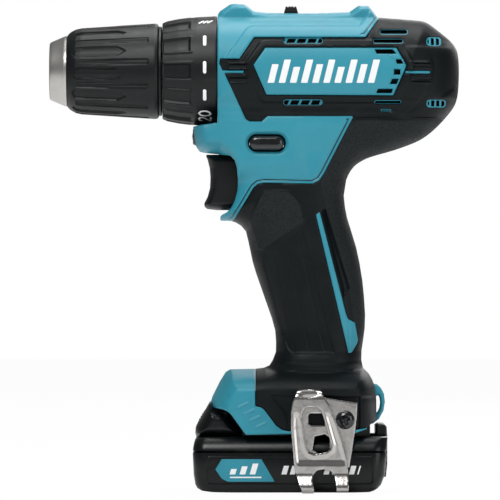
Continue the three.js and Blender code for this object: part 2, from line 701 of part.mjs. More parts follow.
// The belt clip is one strip of sprung steel folded over at its top: a plate held by a screw against
// the housing, and an outer leg that stands off it and ends in two hooked tongues.
const CLIP = { steel: 1.1, backY: -33.7, gap: 7.4 };
const CLIP_BACK = [
  [1, 43.4], [14.4, 43.4], [14.8, 39.6], [28.9, 39.6], [28.6, 34], [27.8, 27], [25.6, 11.6],
  [8, 11.6], [3, 20], [1, 30],
];
const CLIP_FRONT = [
  [1.2, 43], [0, 38], [-0.3, 32], [0.3, 22], [1.2, 12], [3.6, 4.6], [9.2, 5.4], [9.3, 7.6],
  [10.6, 9.6], [13.8, 10.6], [17, 10.2], [18.7, 8.2], [19.2, 6.2], [24.8, 8], [24.6, 14],
  [22.4, 22], [19.6, 31], [16.4, 38.8], [14.2, 43],
];
const CLIP_WINDOW = [
  [4.6, 35.4], [6.2, 38.2], [10.6, 38.4], [13.2, 36.4], [14.6, 31.6], [17.2, 22], [16, 19.2],
  [12.6, 17.9], [8.4, 18], [6.2, 21],
];
const CLIP_LIGHTENING = [[9.6, 18], [9.6, 23.6], [12, 25.5], [16.4, 25.5], [16.4, 18]];

function clipFold(y0, y1) {
  const outer = (y1 - y0) / 2;
  const bend = [];
  const steps = 6;
  for (let i = 0; i <= steps; i++) {
    const a = Math.PI * (i / steps);
    bend.push([outer * Math.cos(a), 2.6 * Math.sin(a)]);
  }
  for (let i = steps; i >= 0; i--) {
    const a = Math.PI * (i / steps);
    bend.push([(outer - CLIP.steel) * Math.cos(a), (2.6 - CLIP.steel) * Math.sin(a)]);
  }
  // The bend's outline lies across the strip, so it is extruded along X.
  const shape = new THREE.Shape(bend.map(([y, z]) => new THREE.Vector2(-z, y)));
  return extrudeX(shape, 1.4, 14.1).translate([0, (y0 + y1) / 2, 42.9]);
}

// A hooked tongue: it leans out from the leg and turns back in at the tip.
function clipTongue(x0, x1, top, y) {
  const profile = [
    [y, top + 0.4], [y - 2.6, top - 2.9], [y - 0.9, top - 5.4], [y + 0.2, top - 5.2],
    [y - 1.2, top - 3], [y + CLIP.steel, top + 0.4],
  ];
  const shape = new THREE.Shape(profile.map(([a, z]) => new THREE.Vector2(-z, a)));
  return extrudeX(shape, x0, x1);
}

function beltClip() {
  const back = slab(CLIP_BACK, CLIP.backY, CLIP.backY + CLIP.steel);
  const outerY = CLIP.backY - CLIP.gap - CLIP.steel;
  const front = slab(CLIP_FRONT, outerY, outerY + CLIP.steel);
  const holes = [
    slab(stadium(11.4, 32.3, 9.6, 4.6, 4), CLIP.backY - 1, CLIP.backY + 3),
    slab(CLIP_LIGHTENING, CLIP.backY - 1, CLIP.backY + 3),
    pegY(CLIP_SCREW.x, CLIP_SCREW.z, 2.3, CLIP.backY - 1, CLIP.backY + 3, 16),
    slab(CLIP_WINDOW, outerY - 1, outerY + 3),
  ];
  return cut(
    union(
      back,
      front,
      clipFold(outerY, CLIP.backY + CLIP.steel),
      clipTongue(4, 9.2, 5.6, outerY),
      clipTongue(19.4, 24.8, 8.2, outerY),
    ),
    ...holes,
  );
}
add("belt_clip", beltClip(), brightSteel);
const clipScrew = add("clip_screw", panScrew(-1, 1.9, 6, { radius: 4.1, height: 2.4 }), glossBlack);
clipScrew.position.set(CLIP_SCREW.x, CLIP.backY - GAP, CLIP_SCREW.z);

// ---------------------------------------------------------------- battery

const roundedRect = (x0, x1, y0, y1, r, steps = 3) => {
  const corners = [[x1 - r, y1 - r, 0], [x0 + r, y1 - r, 1], [x0 + r, y0 + r, 2], [x1 - r, y0 + r, 3]];
  return corners.flatMap(([cx, cy, quarter]) =>
    Array.from({ length: steps + 1 }, (_, i) => {
      const a = ((quarter + i / steps) * Math.PI) / 2;
      return new THREE.Vector2(cx + r * Math.cos(a), cy + r * Math.sin(a));
    }),
  );
};

// A case wall as level rings of rounded rectangles: [z, front, rear, half width, corner radius].
const caseLoft = (levels, less = 0) =>
  loft(
    levels.map(([z, x0, x1, half, r]) => {
      const corners = roundedRect(x0 + less, x1 - less, less - half, half - less, r);
      return corners.map((p) => new THREE.Vector3(p.x, p.y, z));
    }),
  );

const BATTERY_LOWER = [
  [0, -33, 34, 27.5, 6], [0.9, -40.5, 37, 30.6, 6], [3, -42.4, 39.4, 31.7, 5.5],
  [8, -43, 41.4, BATTERY_HALF_WIDTH, 5], [17.9, -43.5, 42, BATTERY_HALF_WIDTH, 5],
];
const BATTERY_SHOULDER = [
  [18.2, -43.5, 42, BATTERY_HALF_WIDTH, 5], [21, -43.3, 42.4, 31.4, 5], [24.6, -41, 42.6, 28.6, 4],
];
const BATTERY_WEDGE = [
  [-43, 24], [-42.6, 28.6], [-36, 39.4], [-35, 39.4], [-33.9, 36.9], [-30.2, 36.5], [-27.3, 34.7],
  [-19.9, 25], [-19.9, 24],
];
const WEDGE_HALF_WIDTH = 26.5;
const BATTERY_RAILS = { x0: -22, x1: 34.8, half: 21.8, top: 34.6 };

const batteryCavity = caseLoft([[2.2, -40.4, 38.4, 29.4, 4], [18.2, -41, 39.4, 29.8, 4]]);
add("battery_lower_case", cut(caseLoft(BATTERY_LOWER), batteryCavity), blackPlastic);

function batteryUpperCase() {
  const { x0, x1, half, top } = BATTERY_RAILS;
  const tower = block([x0, -half, 22], [x1, half, top]);
  const catchPlate = block([37.6, 0.6 - CATCH_DOOR.half, 22], [42.4, CATCH_DOOR.half - 0.6, 29.6]);
  const wedge = slab(BATTERY_WEDGE, -WEDGE_HALF_WIDTH, WEDGE_HALF_WIDTH);
  const tray = block([-36, -28.9, 10], [34, 28.9, 21.4]);
  const chimney = block([-28, -18, 20], [32, 18, 32.4]);
  const latchWell = block([-46, -14.4, 29.1], [-34.9, 14.4, 36.4]);
  return cut(union(caseLoft(BATTERY_SHOULDER), tower, catchPlate, wedge), tray, chimney, latchWell);
}
add("battery_upper_case", batteryUpperCase(), blackPlastic);

// The release button lies in the sloping front of the wedge and is pushed in.
const BUTTON_SIDE = [[-42.1, 29.4], [-38.3, 36.1], [-37.1, 36.1], [-37.1, 29.4]];
add("battery_button", slab(BUTTON_SIDE, -14, 14, 0.4), glossBlack);

for (let k = 0; k < CELLS; k++) {
  const cell = rod(-CELL_LENGTH / 2, CELL_LENGTH / 2, CELL_RADIUS, 16);
  const nub = rod(-CELL_LENGTH / 2 - 1, 0, 3, 8);
  const mesh = add(`battery_cell_${k + 1}`, union(cell, nub), cellWrap);
  mesh.position.set(-1, (k - (CELLS - 1) / 2) * (2 * CELL_RADIUS + 1), 2.4 + GAP + CELL_RADIUS);
}
add("battery_board", block([-28, -16, 23.4], [30, 16, 25]), greenBoard);

// ---------------------------------------------------------------- leads

function lead(name, points, material) {
  const curve = new THREE.CatmullRomCurve3(points.map((p) => new THREE.Vector3(...p)));
  add(name, wire(curve, 1.1, 5, 7), material);
}
for (const [colour, material, y] of [["red", redWire, -3], ["black", blackWire, 3]]) {
  const up = [[8, y, 148], [12, y, 155], [22, 2 * y, 162]];
  lead(`motor_lead_${colour}`, [...up, [23, 2 * y, 165.4]], material);
  const down = [[6, y, 121.6], [8, y, 108], [11, y, 85], [14, y, 60], [15, y, 42.3]];
  lead(`battery_lead_${colour}`, down, material);
}

export default drill;
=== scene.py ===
"""A compact cordless drill driver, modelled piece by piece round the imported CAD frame.

Sizes are typed in millimetres and turned into metres where a mesh is made. +Z is up, the chuck points
to -X, the side with the belt clip faces -Y, and the origin is the middle of the battery's underside.
"""
import json
from math import pi, radians

import bpy
import numpy as np
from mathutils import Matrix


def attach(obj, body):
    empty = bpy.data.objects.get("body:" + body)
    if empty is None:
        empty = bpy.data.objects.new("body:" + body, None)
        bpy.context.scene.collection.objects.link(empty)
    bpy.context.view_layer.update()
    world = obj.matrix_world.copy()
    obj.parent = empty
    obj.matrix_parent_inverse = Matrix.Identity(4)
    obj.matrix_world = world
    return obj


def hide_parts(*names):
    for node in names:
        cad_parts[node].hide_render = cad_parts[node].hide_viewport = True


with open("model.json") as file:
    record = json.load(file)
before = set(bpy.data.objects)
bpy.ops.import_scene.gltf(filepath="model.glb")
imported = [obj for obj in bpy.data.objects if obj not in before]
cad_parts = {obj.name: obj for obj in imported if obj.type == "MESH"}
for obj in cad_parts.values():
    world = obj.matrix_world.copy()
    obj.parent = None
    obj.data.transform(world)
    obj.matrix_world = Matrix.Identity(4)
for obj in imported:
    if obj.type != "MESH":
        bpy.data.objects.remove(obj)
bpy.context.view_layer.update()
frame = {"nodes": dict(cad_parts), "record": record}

# ---------------------------------------------------------------- camera, light and floor
# The tool stands on a white table in front of white paper, lit by four large soft boxes.
scene = bpy.context.scene
camera = bpy.data.objects.new("camera", bpy.data.cameras.new("camera"))
camera.location = (-0.0182, -2.5, 0.1068)
camera.rotation_euler = (pi / 2, 0, 0)
camera.data.sensor_width = 36
camera.data.lens = 404.5
camera.data.clip_end = 50
scene.collection.objects.link(camera)
scene.camera = camera

SOFT_BOXES = [  # name, place and aim in metres, width, watts
    ("key", (-0.35, -0.95, 1.15), (-0.02, 0, 0.12), 0.6, 13),
    ("fill", (0.95, -1.0, 0.35), (0, 0, 0.1), 0.7, 3.4),
    ("top", (0.05, 0.15, 1.15), (0, 0, 0.1), 0.7, 9),
    ("rear", (0.4, 1.2, 0.7), (0, 0, 0.1), 0.9, 6),
]
for name, place, aim, width, watts in SOFT_BOXES:
    lamp = bpy.data.objects.new(name, bpy.data.lights.new(name, "AREA"))
    lamp.data.size = width
    lamp.data.energy = watts
    lamp.location = place
    toward = np.array(aim) - np.array(place)
    flat = np.hypot(toward[0], toward[1])
    lamp.rotation_euler = (pi / 2 + np.arctan2(toward[2], flat), 0, np.arctan2(-toward[0], toward[1]))
    scene.collection.objects.link(lamp)

world = bpy.data.worlds.new("studio")
world.use_nodes = True
seen = world.node_tree.nodes["Background"]
seen.inputs["Color"].default_value = (1, 1, 1, 1)
ray = world.node_tree.nodes.new("ShaderNodeLightPath")
strength = world.node_tree.nodes.new("ShaderNodeMapRange")
strength.inputs["To Min"].default_value = 0.15  # what lights the tool; the paper behind it is at 1
world.node_tree.links.new(ray.outputs["Is Camera Ray"], strength.inputs["Value"])
world.node_tree.links.new(strength.outputs["Result"], seen.inputs["Strength"])
scene.world = world
scene.view_settings.view_transform = "Standard"

floor_mesh = bpy.data.meshes.new("floor")
low = -0.0002  # just under the battery's feet
floor_mesh.from_pydata([(-3, -3, low), (3, -3, low), (3, 3, low), (-3, 3, low)], [], [(0, 1, 2, 3)])
floor = bpy.data.objects.new("floor", floor_mesh)
floor_paint = bpy.data.materials.new("floor_paint")
floor_paint.use_nodes = True
floor_shader = floor_paint.node_tree.nodes["Principled BSDF"]
floor_shader.inputs["Base Color"].default_value = (0.93, 0.93, 0.93, 1)
floor_shader.inputs["Roughness"].default_value = 0.5
floor_tree = floor_paint.node_tree
glow = floor_tree.nodes.new("ShaderNodeEmission")
ray = floor_tree.nodes.new("ShaderNodeLightPath")
share = floor_tree.nodes.new("ShaderNodeMath")
share.operation = "MULTIPLY"
share.inputs[1].default_value = 0.97  # how white the paper looks to the camera, past what lights it
mixed = floor_tree.nodes.new("ShaderNodeMixShader")
floor_tree.links.new(ray.outputs["Is Camera Ray"], share.inputs[0])
floor_tree.links.new(share.outputs[0], mixed.inputs[0])
floor_tree.links.new(floor_shader.outputs[0], mixed.inputs[1])
floor_tree.links.new(glow.outputs[0], mixed.inputs[2])
floor_tree.links.new(mixed.outputs[0], floor_tree.nodes["Material Output"].inputs["Surface"])
floor_mesh.materials.append(floor_paint)
scene.collection.objects.link(floor)

# ---------------------------------------------------------------- hard shell
# The two halves of the housing, moulded in teal nylon about 2 mm thick and screwed together from the
# right. Their outside shows between the ring and the soft grip, over the trigger and in front of the base.


class Field:
    """A value inside a material. Arithmetic on it adds the Math node that does that sum."""

    def __init__(self, tree, socket):
        self.tree = tree
        self.socket = socket

    def node(self, kind, settings=None, values=None, out=0):
        """Adds a node of that kind, with its settings first and then its input values or links."""
        made = self.tree.nodes.new(kind)
        for name, value in (settings or {}).items():
            setattr(made, name, value)
        for key, value in (values or {}).items():
            if isinstance(value, Field):
                self.tree.links.new(value.socket, made.inputs[key])
            else:
                made.inputs[key].default_value = value
        return Field(self.tree, made.outputs[out])

    def sum(self, operation, first, second=0.0):
        return self.node("ShaderNodeMath", {"operation": operation}, {0: first, 1: second})

    def __add__(self, other):
        return self.sum("ADD", self, other)

    def __sub__(self, other):
        return self.sum("SUBTRACT", self, other)

    def __rsub__(self, other):
        return self.sum("SUBTRACT", other, self)

    def __mul__(self, other):
        return self.sum("MULTIPLY", self, other)

    __radd__ = __add__
    __rmul__ = __mul__


def noise(at, per_mm, detail=2.0, stretch=(1, 1, 1)):
    """Soft noise from 0 to 1, with about per_mm lumps in a millimetre, drawn out along an axis by stretch."""
    spread = at.node("ShaderNodeMapping", None, {0: at, "Scale": stretch})
    values = {"Vector": spread, "Scale": per_mm * 1000, "Detail": detail}
    return at.node("ShaderNodeTexNoise", None, values)


def blend(at, amount, low, high):
    """The colour low where amount is 0, and high where it is 1. Each is a plain colour or a field."""
    low, high = [shade if isinstance(shade, Field) else (*shade, 1) for shade in (low, high)]
    return at.node("ShaderNodeMix", {"data_type": "RGBA"}, {0: amount, 6: low, 7: high}, out=2)


def layer(at, name):
    """The value that write_layer stored on the piece under that name."""
    return at.node("ShaderNodeAttribute", {"attribute_name": name}, out=2)


def step(at, value, low, high):
    """0 where value is under low, 1 over high, and a smooth ramp between."""
    values = {0: value, 1: low, 2: high, 3: 0.0, 4: 1.0}
    return at.node("ShaderNodeMapRange", {"interpolation_type": "SMOOTHSTEP"}, values)


def bump(at, height, depth_mm, strength=1.0):
    """A normal bent by a height field from 0 to 1 that stands depth_mm high."""
    values = {"Strength": strength, "Distance": depth_mm / 1000, "Height": height}
    return at.node("ShaderNodeBump", None, values)


def material(name, recipe, **constants):
    """A Principled material. recipe(place) gives the inputs that vary, constants those that don't."""
    made = bpy.data.materials.new(name)
    made.use_nodes = True
    tree = made.node_tree
    shader = tree.nodes["Principled BSDF"]
    place = Field(tree, tree.nodes.new("ShaderNodeTexCoord").outputs["Object"])
    for key, value in constants.items():
        shader.inputs[key.replace("_", " ")].default_value = value
    for key, value in recipe(place).items():
        tree.links.new(value.socket, shader.inputs[key])
    return made


def add_piece(name, points, faces, paint, body, slot, stands_for=(), crease=32):
    """A closed mesh from points in mm and a list of corner-index arrays, riding on a body.

    Six times the volume is the sum over the faces' corner fans of a . (b x c). Where it is negative
    the faces look inwards, so every one is turned round.
    """
    volume = 0.0
    for ring in faces:
        for k in range(1, ring.shape[1] - 1):
            a, b, c = points[ring[:, 0]], points[ring[:, k]], points[ring[:, k + 1]]
            volume += np.einsum("ij,ij->", a, np.cross(b, c))
    if volume < 0:
        faces = [ring[:, ::-1] for ring in faces]
    loops = np.concatenate([ring.ravel() for ring in faces])
    sizes = np.concatenate([np.full(len(ring), ring.shape[1]) for ring in faces])
    mesh = bpy.data.meshes.new(name)
    mesh.vertices.add(len(points))
    mesh.vertices.foreach_set("co", (points / 1000).ravel())
    mesh.loops.add(len(loops))
    mesh.loops.foreach_set("vertex_index", loops.astype(np.int32))
    mesh.polygons.add(len(sizes))
    mesh.polygons.foreach_set("loop_start", (np.cumsum(sizes) - sizes).astype(np.int32))
    mesh.update(calc_edges=True)
    mesh.validate()
    mesh.polygons.foreach_set("use_smooth", np.ones(len(mesh.polygons), dtype=bool))
    mesh.set_sharp_from_angle(angle=radians(crease))
    mesh.materials.append(paint)
    piece = bpy.data.objects.new(name, mesh)
    scene.collection.objects.link(piece)
    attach(piece, body)
    if stands_for:
        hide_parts(*stands_for)
    return piece


def depth(u, v, outline):
    """How far each point lies inside a closed outline, negative outside it.

    The distance is to the nearest of its straight sides, and a point is inside where a line from it
    crosses the sides an odd number of times.
    """
    nearest = np.full(np.shape(u), 1e9)
    odd = np.zeros(np.shape(u), dtype=bool)
    for (au, av), (bu, bv) in zip(outline, [*outline[1:], outline[0]]):
        du, dv = bu - au, bv - av
        along = np.clip(((u - au) * du + (v - av) * dv) / (du * du + dv * dv), 0, 1)
        nearest = np.minimum(nearest, (u - au - along * du) ** 2 + (v - av - along * dv) ** 2)
        if dv:
            odd ^= ((av > v) != (bv > v)) & (u < au + (v - av) * du / dv)
    return np.where(odd, 1, -1) * np.sqrt(nearest)


def slot_depth(u, v, u0, u1, middle, half):
    """Depth inside a slot with round ends, lying along u."""
    reach = max((u1 - u0) / 2 - half, 0)
    beyond = np.maximum(np.abs(u - (u0 + u1) / 2) - reach, 0)
    return half - np.hypot(beyond, v - middle)


def lines_depth(u, v, lines, half):
    """Depth inside strokes of that half width drawn along lines of points."""
    nearest = np.full(np.shape(u), 1e9)
    for line in lines:
        for (au, av), (bu, bv) in zip(line, line[1:]):
            du, dv = bu - au, bv - av
            along = np.clip(((u - au) * du + (v - av) * dv) / (du * du + dv * dv), 0, 1)
            nearest = np.minimum(nearest, (u - au - along * du) ** 2 + (v - av - along * dv) ** 2)
    return half - np.sqrt(nearest)


def ramp(value, low, high):
    """0 under low, 1 over high, smooth between."""
    t = np.clip((value - low) / (high - low), 0, 1)
    return t * t * (3 - 2 * t)


def slope(field, u, v):
    """A field's value and its gradient, by central differences 0.02 mm either way."""
    e = 0.02
    return (
        field(u, v),
        (field(u + e, v) - field(u - e, v)) / (2 * e),
        (field(u, v + e) - field(u, v - e)) / (2 * e),
    )


def relief(box, pitch, region, outer, inner, place, edge=None, crowd=None, round_mm=0.4):
    """A closed plate over a flat map (u, v): points and faces.

    The plate covers the map where region is positive. Its grid's border corners are moved onto the
    line where region is 0. Its outside stands outer(u, v) above the map and its inside inner(u, v),
    or the same below it where inner is None. place(u, v, height) puts the map in space. Within
    round_mm of where edge is 0 the outside falls away as a quarter circle. crowd = (field, reach)
    draws the rows nearer than reach to the line field = 0 together, at d * d / reach from it, which
    keeps them evenly spaced round a surface that turns under there.
    """
    u, v = np.meshgrid(np.arange(box[0], box[2] + pitch, pitch), np.arange(box[1], box[3] + pitch, pitch),
                       indexing="ij")
    if crowd:
        field, reach = crowd
        d, gu, gv = slope(field, u, v)
        move = np.where((d > 0) & (d < reach), d - d * d / reach, 0)
        u, v = u - move * gu, v - move * gv
    inside = region(u, v)
    keep = inside[:-1, :-1] + inside[1:, :-1] + inside[1:, 1:] + inside[:-1, 1:] > 0
    touch = keep[:-1, :-1] & keep[1:, 1:] & ~keep[1:, :-1] & ~keep[:-1, 1:]
    keep[1:, :-1] |= touch
    touch = ~keep[:-1, :-1] & ~keep[1:, 1:] & keep[1:, :-1] & keep[:-1, 1:]
    keep[:-1, :-1] |= touch
    index = np.arange(u.size).reshape(u.shape)
    corners = index[:-1, :-1], index[1:, :-1], index[1:, 1:], index[:-1, 1:]
    quads = np.stack([corner[keep] for corner in corners], 1)
    sides = np.concatenate([quads[:, [0, 1]], quads[:, [1, 2]], quads[:, [2, 3]], quads[:, [3, 0]]])
    _, first, count = np.unique(sides.min(1) * u.size + sides.max(1), return_index=True, return_counts=True)
    rim = sides[first[count == 1]]
    border = np.unique(rim)
    u, v = u.ravel(), v.ravel()
    for _ in range(4):
        d, gu, gv = slope(region, u[border], v[border])
        move = np.clip(d / np.maximum(gu * gu + gv * gv, 0.2), -pitch / 2, pitch / 2)
        u[border] -= move * gu
        v[border] -= move * gv
    used, quads_and_rim = np.unique(np.concatenate([quads.ravel(), rim.ravel()]), return_inverse=True)
    rim = quads_and_rim[quads.size:].reshape(-1, 2)
    quads = quads_and_rim[:quads.size].reshape(-1, 4)
    u, v = u[used], v[used]
    top = outer(u, v)
    fall = np.clip((edge or region)(u, v) / round_mm, 0, 1)
    top = top - round_mm * (1 - np.sqrt(1 - (1 - fall) ** 2))
    low = -top if inner is None else np.minimum(inner(u, v), top - 0.12)
    n = len(used)
    walls = np.stack([rim[:, 1], rim[:, 0], rim[:, 0] + n, rim[:, 1] + n], 1)
    points = np.concatenate([place(u, v, top), place(u, v, low)])
    return points, [quads, quads[:, ::-1] + n, walls]


# The whole housing from the side. Openings run past it, so that the shell doesn't round over there.
SIDE_OUTLINE = [
    (-60, 180), (-60, 211.5), (-32.5, 211.5), (-31.5, 213), (-27, 216), (-25, 216.3), (-20.5, 216),
    (-19, 215), (-16.5, 213), (-14, 212.6), (-10, 212.2), (16, 212.2), (26, 212.6), (30, 215.4),
    (34.5, 215.4), (38.5, 210.2), (54, 209), (60, 208), (65, 204.5), (70, 200.5), (73, 197), (74.3, 193),
    (74.7, 186), (74.3, 177), (73, 171.5), (70, 167), (65, 161.5), (60, 157.3), (55, 154.5), (46, 151.2),
    (37, 148.6), (32.3, 146.8), (27.8, 143.6), (24.6, 138), (23.5, 131), (24, 126), (25, 121),
    (27, 114.5), (29, 108), (30.5, 101), (31.8, 93), (32.5, 86), (33, 78), (32.8, 72), (32, 66),
    (31.4, 62), (31.3, 58), (32, 54.5), (34.5, 52), (36, 49.5), (37.2, 46.5), (38, 40), (38, 0),
    (-36, 0), (-36, 38), (-35, 41.5), (-31.5, 48.5), (-29, 52.5), (-27, 53.7), (-16, 53.9), (-12, 54.4),
    (-9.5, 55.5), (-8, 58), (-6.7, 61.5), (-6.6, 66), (-7, 71), (-8.5, 76.5), (-12, 86.5), (-15.5, 96.5),
    (-17, 101.5), (-19, 111), (-20, 115), (-22, 117.5), (-24.8, 119.2), (-27.6, 119.8), (-30.2, 119.8),
    (-33.5, 120.0), (-34.2, 122.4), (-31.4, 125), (-28.8, 128.5), (-27, 133), (-26.6, 138), (-27.4, 143),
    (-29, 147), (-32, 149.4), (-38.5, 150), (-40.5, 150.5), (-42, 152.5), (-43, 157), (-43.5, 161.3),
    (-43.6, 175),
]
# The housing's own ends: the ring's seat, the trigger's opening and the battery's bay.
FRONT_AND_BAY = [
    (-32.5, 163), (-32.5, 230), (90, 230), (90, 31.5), (37, 31.5), (33, 28), (28, 26.4), (-20, 25.6),
    (-26.5, 34.5), (-28, 35.8), (-30, 36.7), (-33.5, 37.3), (-45, 38), (-45, 118), (-30.7, 119.3),
    (-31.4, 120.2), (-31.4, 121.5), (-30.6, 122.4), (-28.5, 123.5), (-26.5, 125.5), (-25, 128.5),
    (-23.8, 133), (-23.5, 138), (-24, 143), (-25, 146.5), (-27, 148.5), (-36, 149.7), (-50, 149.7),
    (-50, 160.6),
]
# The part that the soft grip covers.
SOFT_OUTLINE = [
    (-31.3, 191), (-22.8, 191), (-16.3, 200.6), (32.8, 200.6), (39.6, 210.4), (42, 222), (90, 222),
    (90, 20), (37.4, 31.5), (33, 28.6), (28, 27.8), (-1, 27.2), (-4, 27.8), (-6.5, 29.5), (-12, 36.8),
    (-13.5, 37.8), (-15.8, 38.2), (-15.8, 56), (-40, 56), (-40, 119.2), (-26, 119.6), (-25, 120.5),
    (-21, 127), (-18.3, 131.5), (-16.5, 134.5), (-14.5, 136), (-12, 136.4), (9.5, 136), (12.5, 137.5),
    (14.5, 140.5), (27.6, 166), (-10.5, 166), (-11.8, 164.8), (-13, 163.6), (-18.5, 163.6), (-20, 164.6),
    (-29.3, 184.6), (-21, 184.6), (-21, 186), (-30.3, 186), (-31.6, 189),
]


def smooth_run(outline, first, last, steps=3):
    """The outline with its points from first to last joined by a smooth curve (Catmull-Rom)."""
    run = []
    for k in range(outline.index(first), outline.index(last)):
        a, b, c, d = (np.array(outline[k + j], float) for j in (-1, 0, 1, 2))
        for t in np.arange(steps) / steps:
            spot = b + 0.5 * t * (c - a + t * (2 * a - 5 * b + 4 * c - d + t * (3 * (b - c) + d - a)))
            run.append(tuple(spot))
    return outline[:outline.index(first)] + run + outline[outline.index(last):]


SIDE_OUTLINE = smooth_run(SIDE_OUTLINE, (54, 209), (24.6, 138))
HANDLE_HALF = [
    (0, 19), (54, 22), (57, 19), (62, 17.4), (70, 17), (85, 17.5), (100, 18), (131, 19.5), (150, 20),
    (163, 22.5), (200, 23),
]


def pillow(d, reach, power):
    """From 0 at an edge to 1 a reach inside it, along a superellipse quadrant of that power."""
    near = 1 - np.clip(d / reach, 0, 1)
    return (1 - near ** power) ** (1 / power)


def side_depth(x, z):
    return depth(x, z, SIDE_OUTLINE)


def half_width(x, z):
    """Half the housing's width at (x, z), without its grooves and ribs.

    Five bodies each swell from the outline as a pillow: the round motor barrel, its flat top rail, the
    chin under the ring, the handle and the wide base. They join by a smooth greatest value.
    """
    rim = side_depth(x, z)
    handle = np.interp(z, *zip(*HANDLE_HALF))
    bodies = [
        26.7 * pillow(np.minimum(rim, np.minimum(z - 161.9, 210.8 - z)), 24.4, 2.25),
        11.5 * pillow(np.minimum(rim, z - 199), 2.4, 2.2),
        22 * pillow(np.minimum(rim, np.minimum(np.minimum(12 - x, z - 134), 172 - z) * 0.45), 7, 2.4),
        handle * pillow(np.minimum(rim, np.minimum(180 - z, z - 38)), 18, 2.5),
        32.3 * pillow(np.minimum(rim, 54.5 - z), 10, 2.2),
    ]
    whole = bodies[0]
    for body in bodies[1:]:
        near = np.maximum(1 - np.abs(whole - body) / 3.5, 0)
        whole = np.maximum(whole, body) + 3.5 * near * near / 4
    return whole


LEVER_Z = 154
LEVER_SLOT = (-19.2, -2.4, LEVER_Z, 3.9)  # from x, to x, middle z, half height


def hard_cut(x, z):
    """Depth inside the hard shell's show face: not under the soft grip, and off every opening."""
    lever = slot_depth(x, z, *LEVER_SLOT)
    knob_slot = np.minimum(np.minimum(x + 3.6, 12.6 - x), z - 211.9)
    cut = np.minimum(depth(x, z, FRONT_AND_BAY), -depth(x, z, SOFT_OUTLINE) - 0.12)
    return np.minimum(cut, np.minimum(-lever, -knob_slot))


GROOVED = [[(27.6, 166), (14.5, 140.5), (12.5, 137.5), (9.5, 136), (-12, 136.4), (-14.5, 136), (-16.5, 134.5),
            (-18.3, 131.5), (-21, 127), (-25, 120.5)], [(32.8, 200.6), (39.6, 210.4)]]


def groove_line(x, z):
    """1 along the middle of the groove beside the soft grip, falling to 0 half a millimetre away. It cuts the
    groove, and the teal material darkens the same line as painted shade.
    """
    off = -depth(x, z, SOFT_OUTLINE)
    return np.maximum(1 - np.abs(off - 1.45) / 0.62, 0) * (lines_depth(x, z, GROOVED, 2.6) > 0)


def teal_face(x, z):
    """The hard shell's outside: a groove beside the soft grip, a step round it, and the guard's facets."""
    off = -depth(x, z, SOFT_OUTLINE)
    groove = -0.6 * groove_line(x, z)
    shelf = 0.9 * ramp(5.4 - off, 0, 0.7) * ramp(x + 30 - 0.6 * (z - 190), 0, 0.8) * ramp(z, 187, 189)
    facet = 0.7 * ramp(46.5 - z - 0.9 * np.maximum(-24 - x, 0), -0.6, 1.2) * (z < 60)
    seat = -0.8 * ramp(1.6 + slot_depth(x, z, *LEVER_SLOT), 0, 1.4)
    emboss = 0.0
    for k in range(4):
        mark = [[(-23.4 + 2.6 * k, 37.4 - 2.9 * k), (-19.2 + 2.6 * k, 39.4 - 2.9 * k)]]
        emboss = emboss + 0.4 * ramp(lines_depth(x, z, mark, 0.55), -0.25, 0.2)
    return half_width(x, z) + groove + shelf + facet + seat + emboss


def hollow(x, z, wall=2.0):
    """The inside of a shell: its wall within the outside, the trigger's room and the selector's slot."""
    inside = np.maximum(half_width(x, z) - wall, 0.1)
    inside = np.where((x < -8) & (z > 124) & (z < 149.7), np.maximum(inside, 10.6), inside)
    seat = np.sqrt(np.maximum(24.9**2 - (z - 186.3) ** 2, 0))
    inside = np.where((x < -32.4) & (z > 155), np.maximum(inside, seat), inside)
    return np.where((x > -3.6) & (x < 12.6) & (z > 205), np.maximum(inside, 5.2), inside)


def teal(at):
    """Moulded teal nylon: a fine spark-eroded grain, slight flow shades, finger shine in patches, and
    painted shade darkening the groove beside the soft grip."""
    grain = noise(at, 5.5, 3)
    cloud = noise(at, 0.03, 3)
    colour = blend(at, step(at, cloud, 0.3, 0.7), (0.022, 0.235, 0.318), (0.028, 0.275, 0.365))
    speckled = blend(at, step(at, grain, 0.45, 0.9) * 0.5, colour, (0.035, 0.30, 0.39))
    # painted shade: the groove beside the soft grip is darkened in the colour, standing for the shadow that
    # falls in it
    groove_shade = step(at, layer(at, "groove"), 0.3, 0.8)
    return {
        "Base Color": blend(at, groove_shade, speckled, (0.003, 0.030, 0.042)),
        "Roughness": 0.37 + noise(at, 0.25, 4) * 0.14,
        "Normal": bump(at, grain, 0.035, 0.55),
    }


teal_plastic = material("teal_plastic", teal, Specular_IOR_Level=0.4)


def write_layer(piece, name, value):
    """Stores value(x, z), in mm, on every vertex of a piece under that name, for its material."""
    places = np.empty(len(piece.data.vertices) * 3)
    piece.data.vertices.foreach_get("co", places)
    amount = value(places[0::3] * 1000, places[2::3] * 1000)
    piece.data.attributes.new(name, "FLOAT", "POINT").data.foreach_set("value", amount.astype(np.float32))


def across(side):
    """Heights over the XZ map stand along Y: -1 is the clip's side, 1 the screws' side."""
    return lambda x, z, height: np.stack([x, side * height, z], 1)


SCREWS = [(-22.6, 211.4, 7), (32.3, 210.6, 7), (-30.5, 156.5, 12), (-1, 115.6, 10.5), (20, 92, 10.5),
          (-8, 48, 10.5)]  # x, z and the depth of the seat under each housing screw


def off_screws(x, z, side):
    """Depth outside the screw wells, which only the right half has."""
    gaps = [np.hypot(x - sx, z - sz) - 3.7 for sx, sz, _ in SCREWS]
    return np.minimum.reduce(gaps) if side > 0 else np.full(np.shape(x), 99.0)


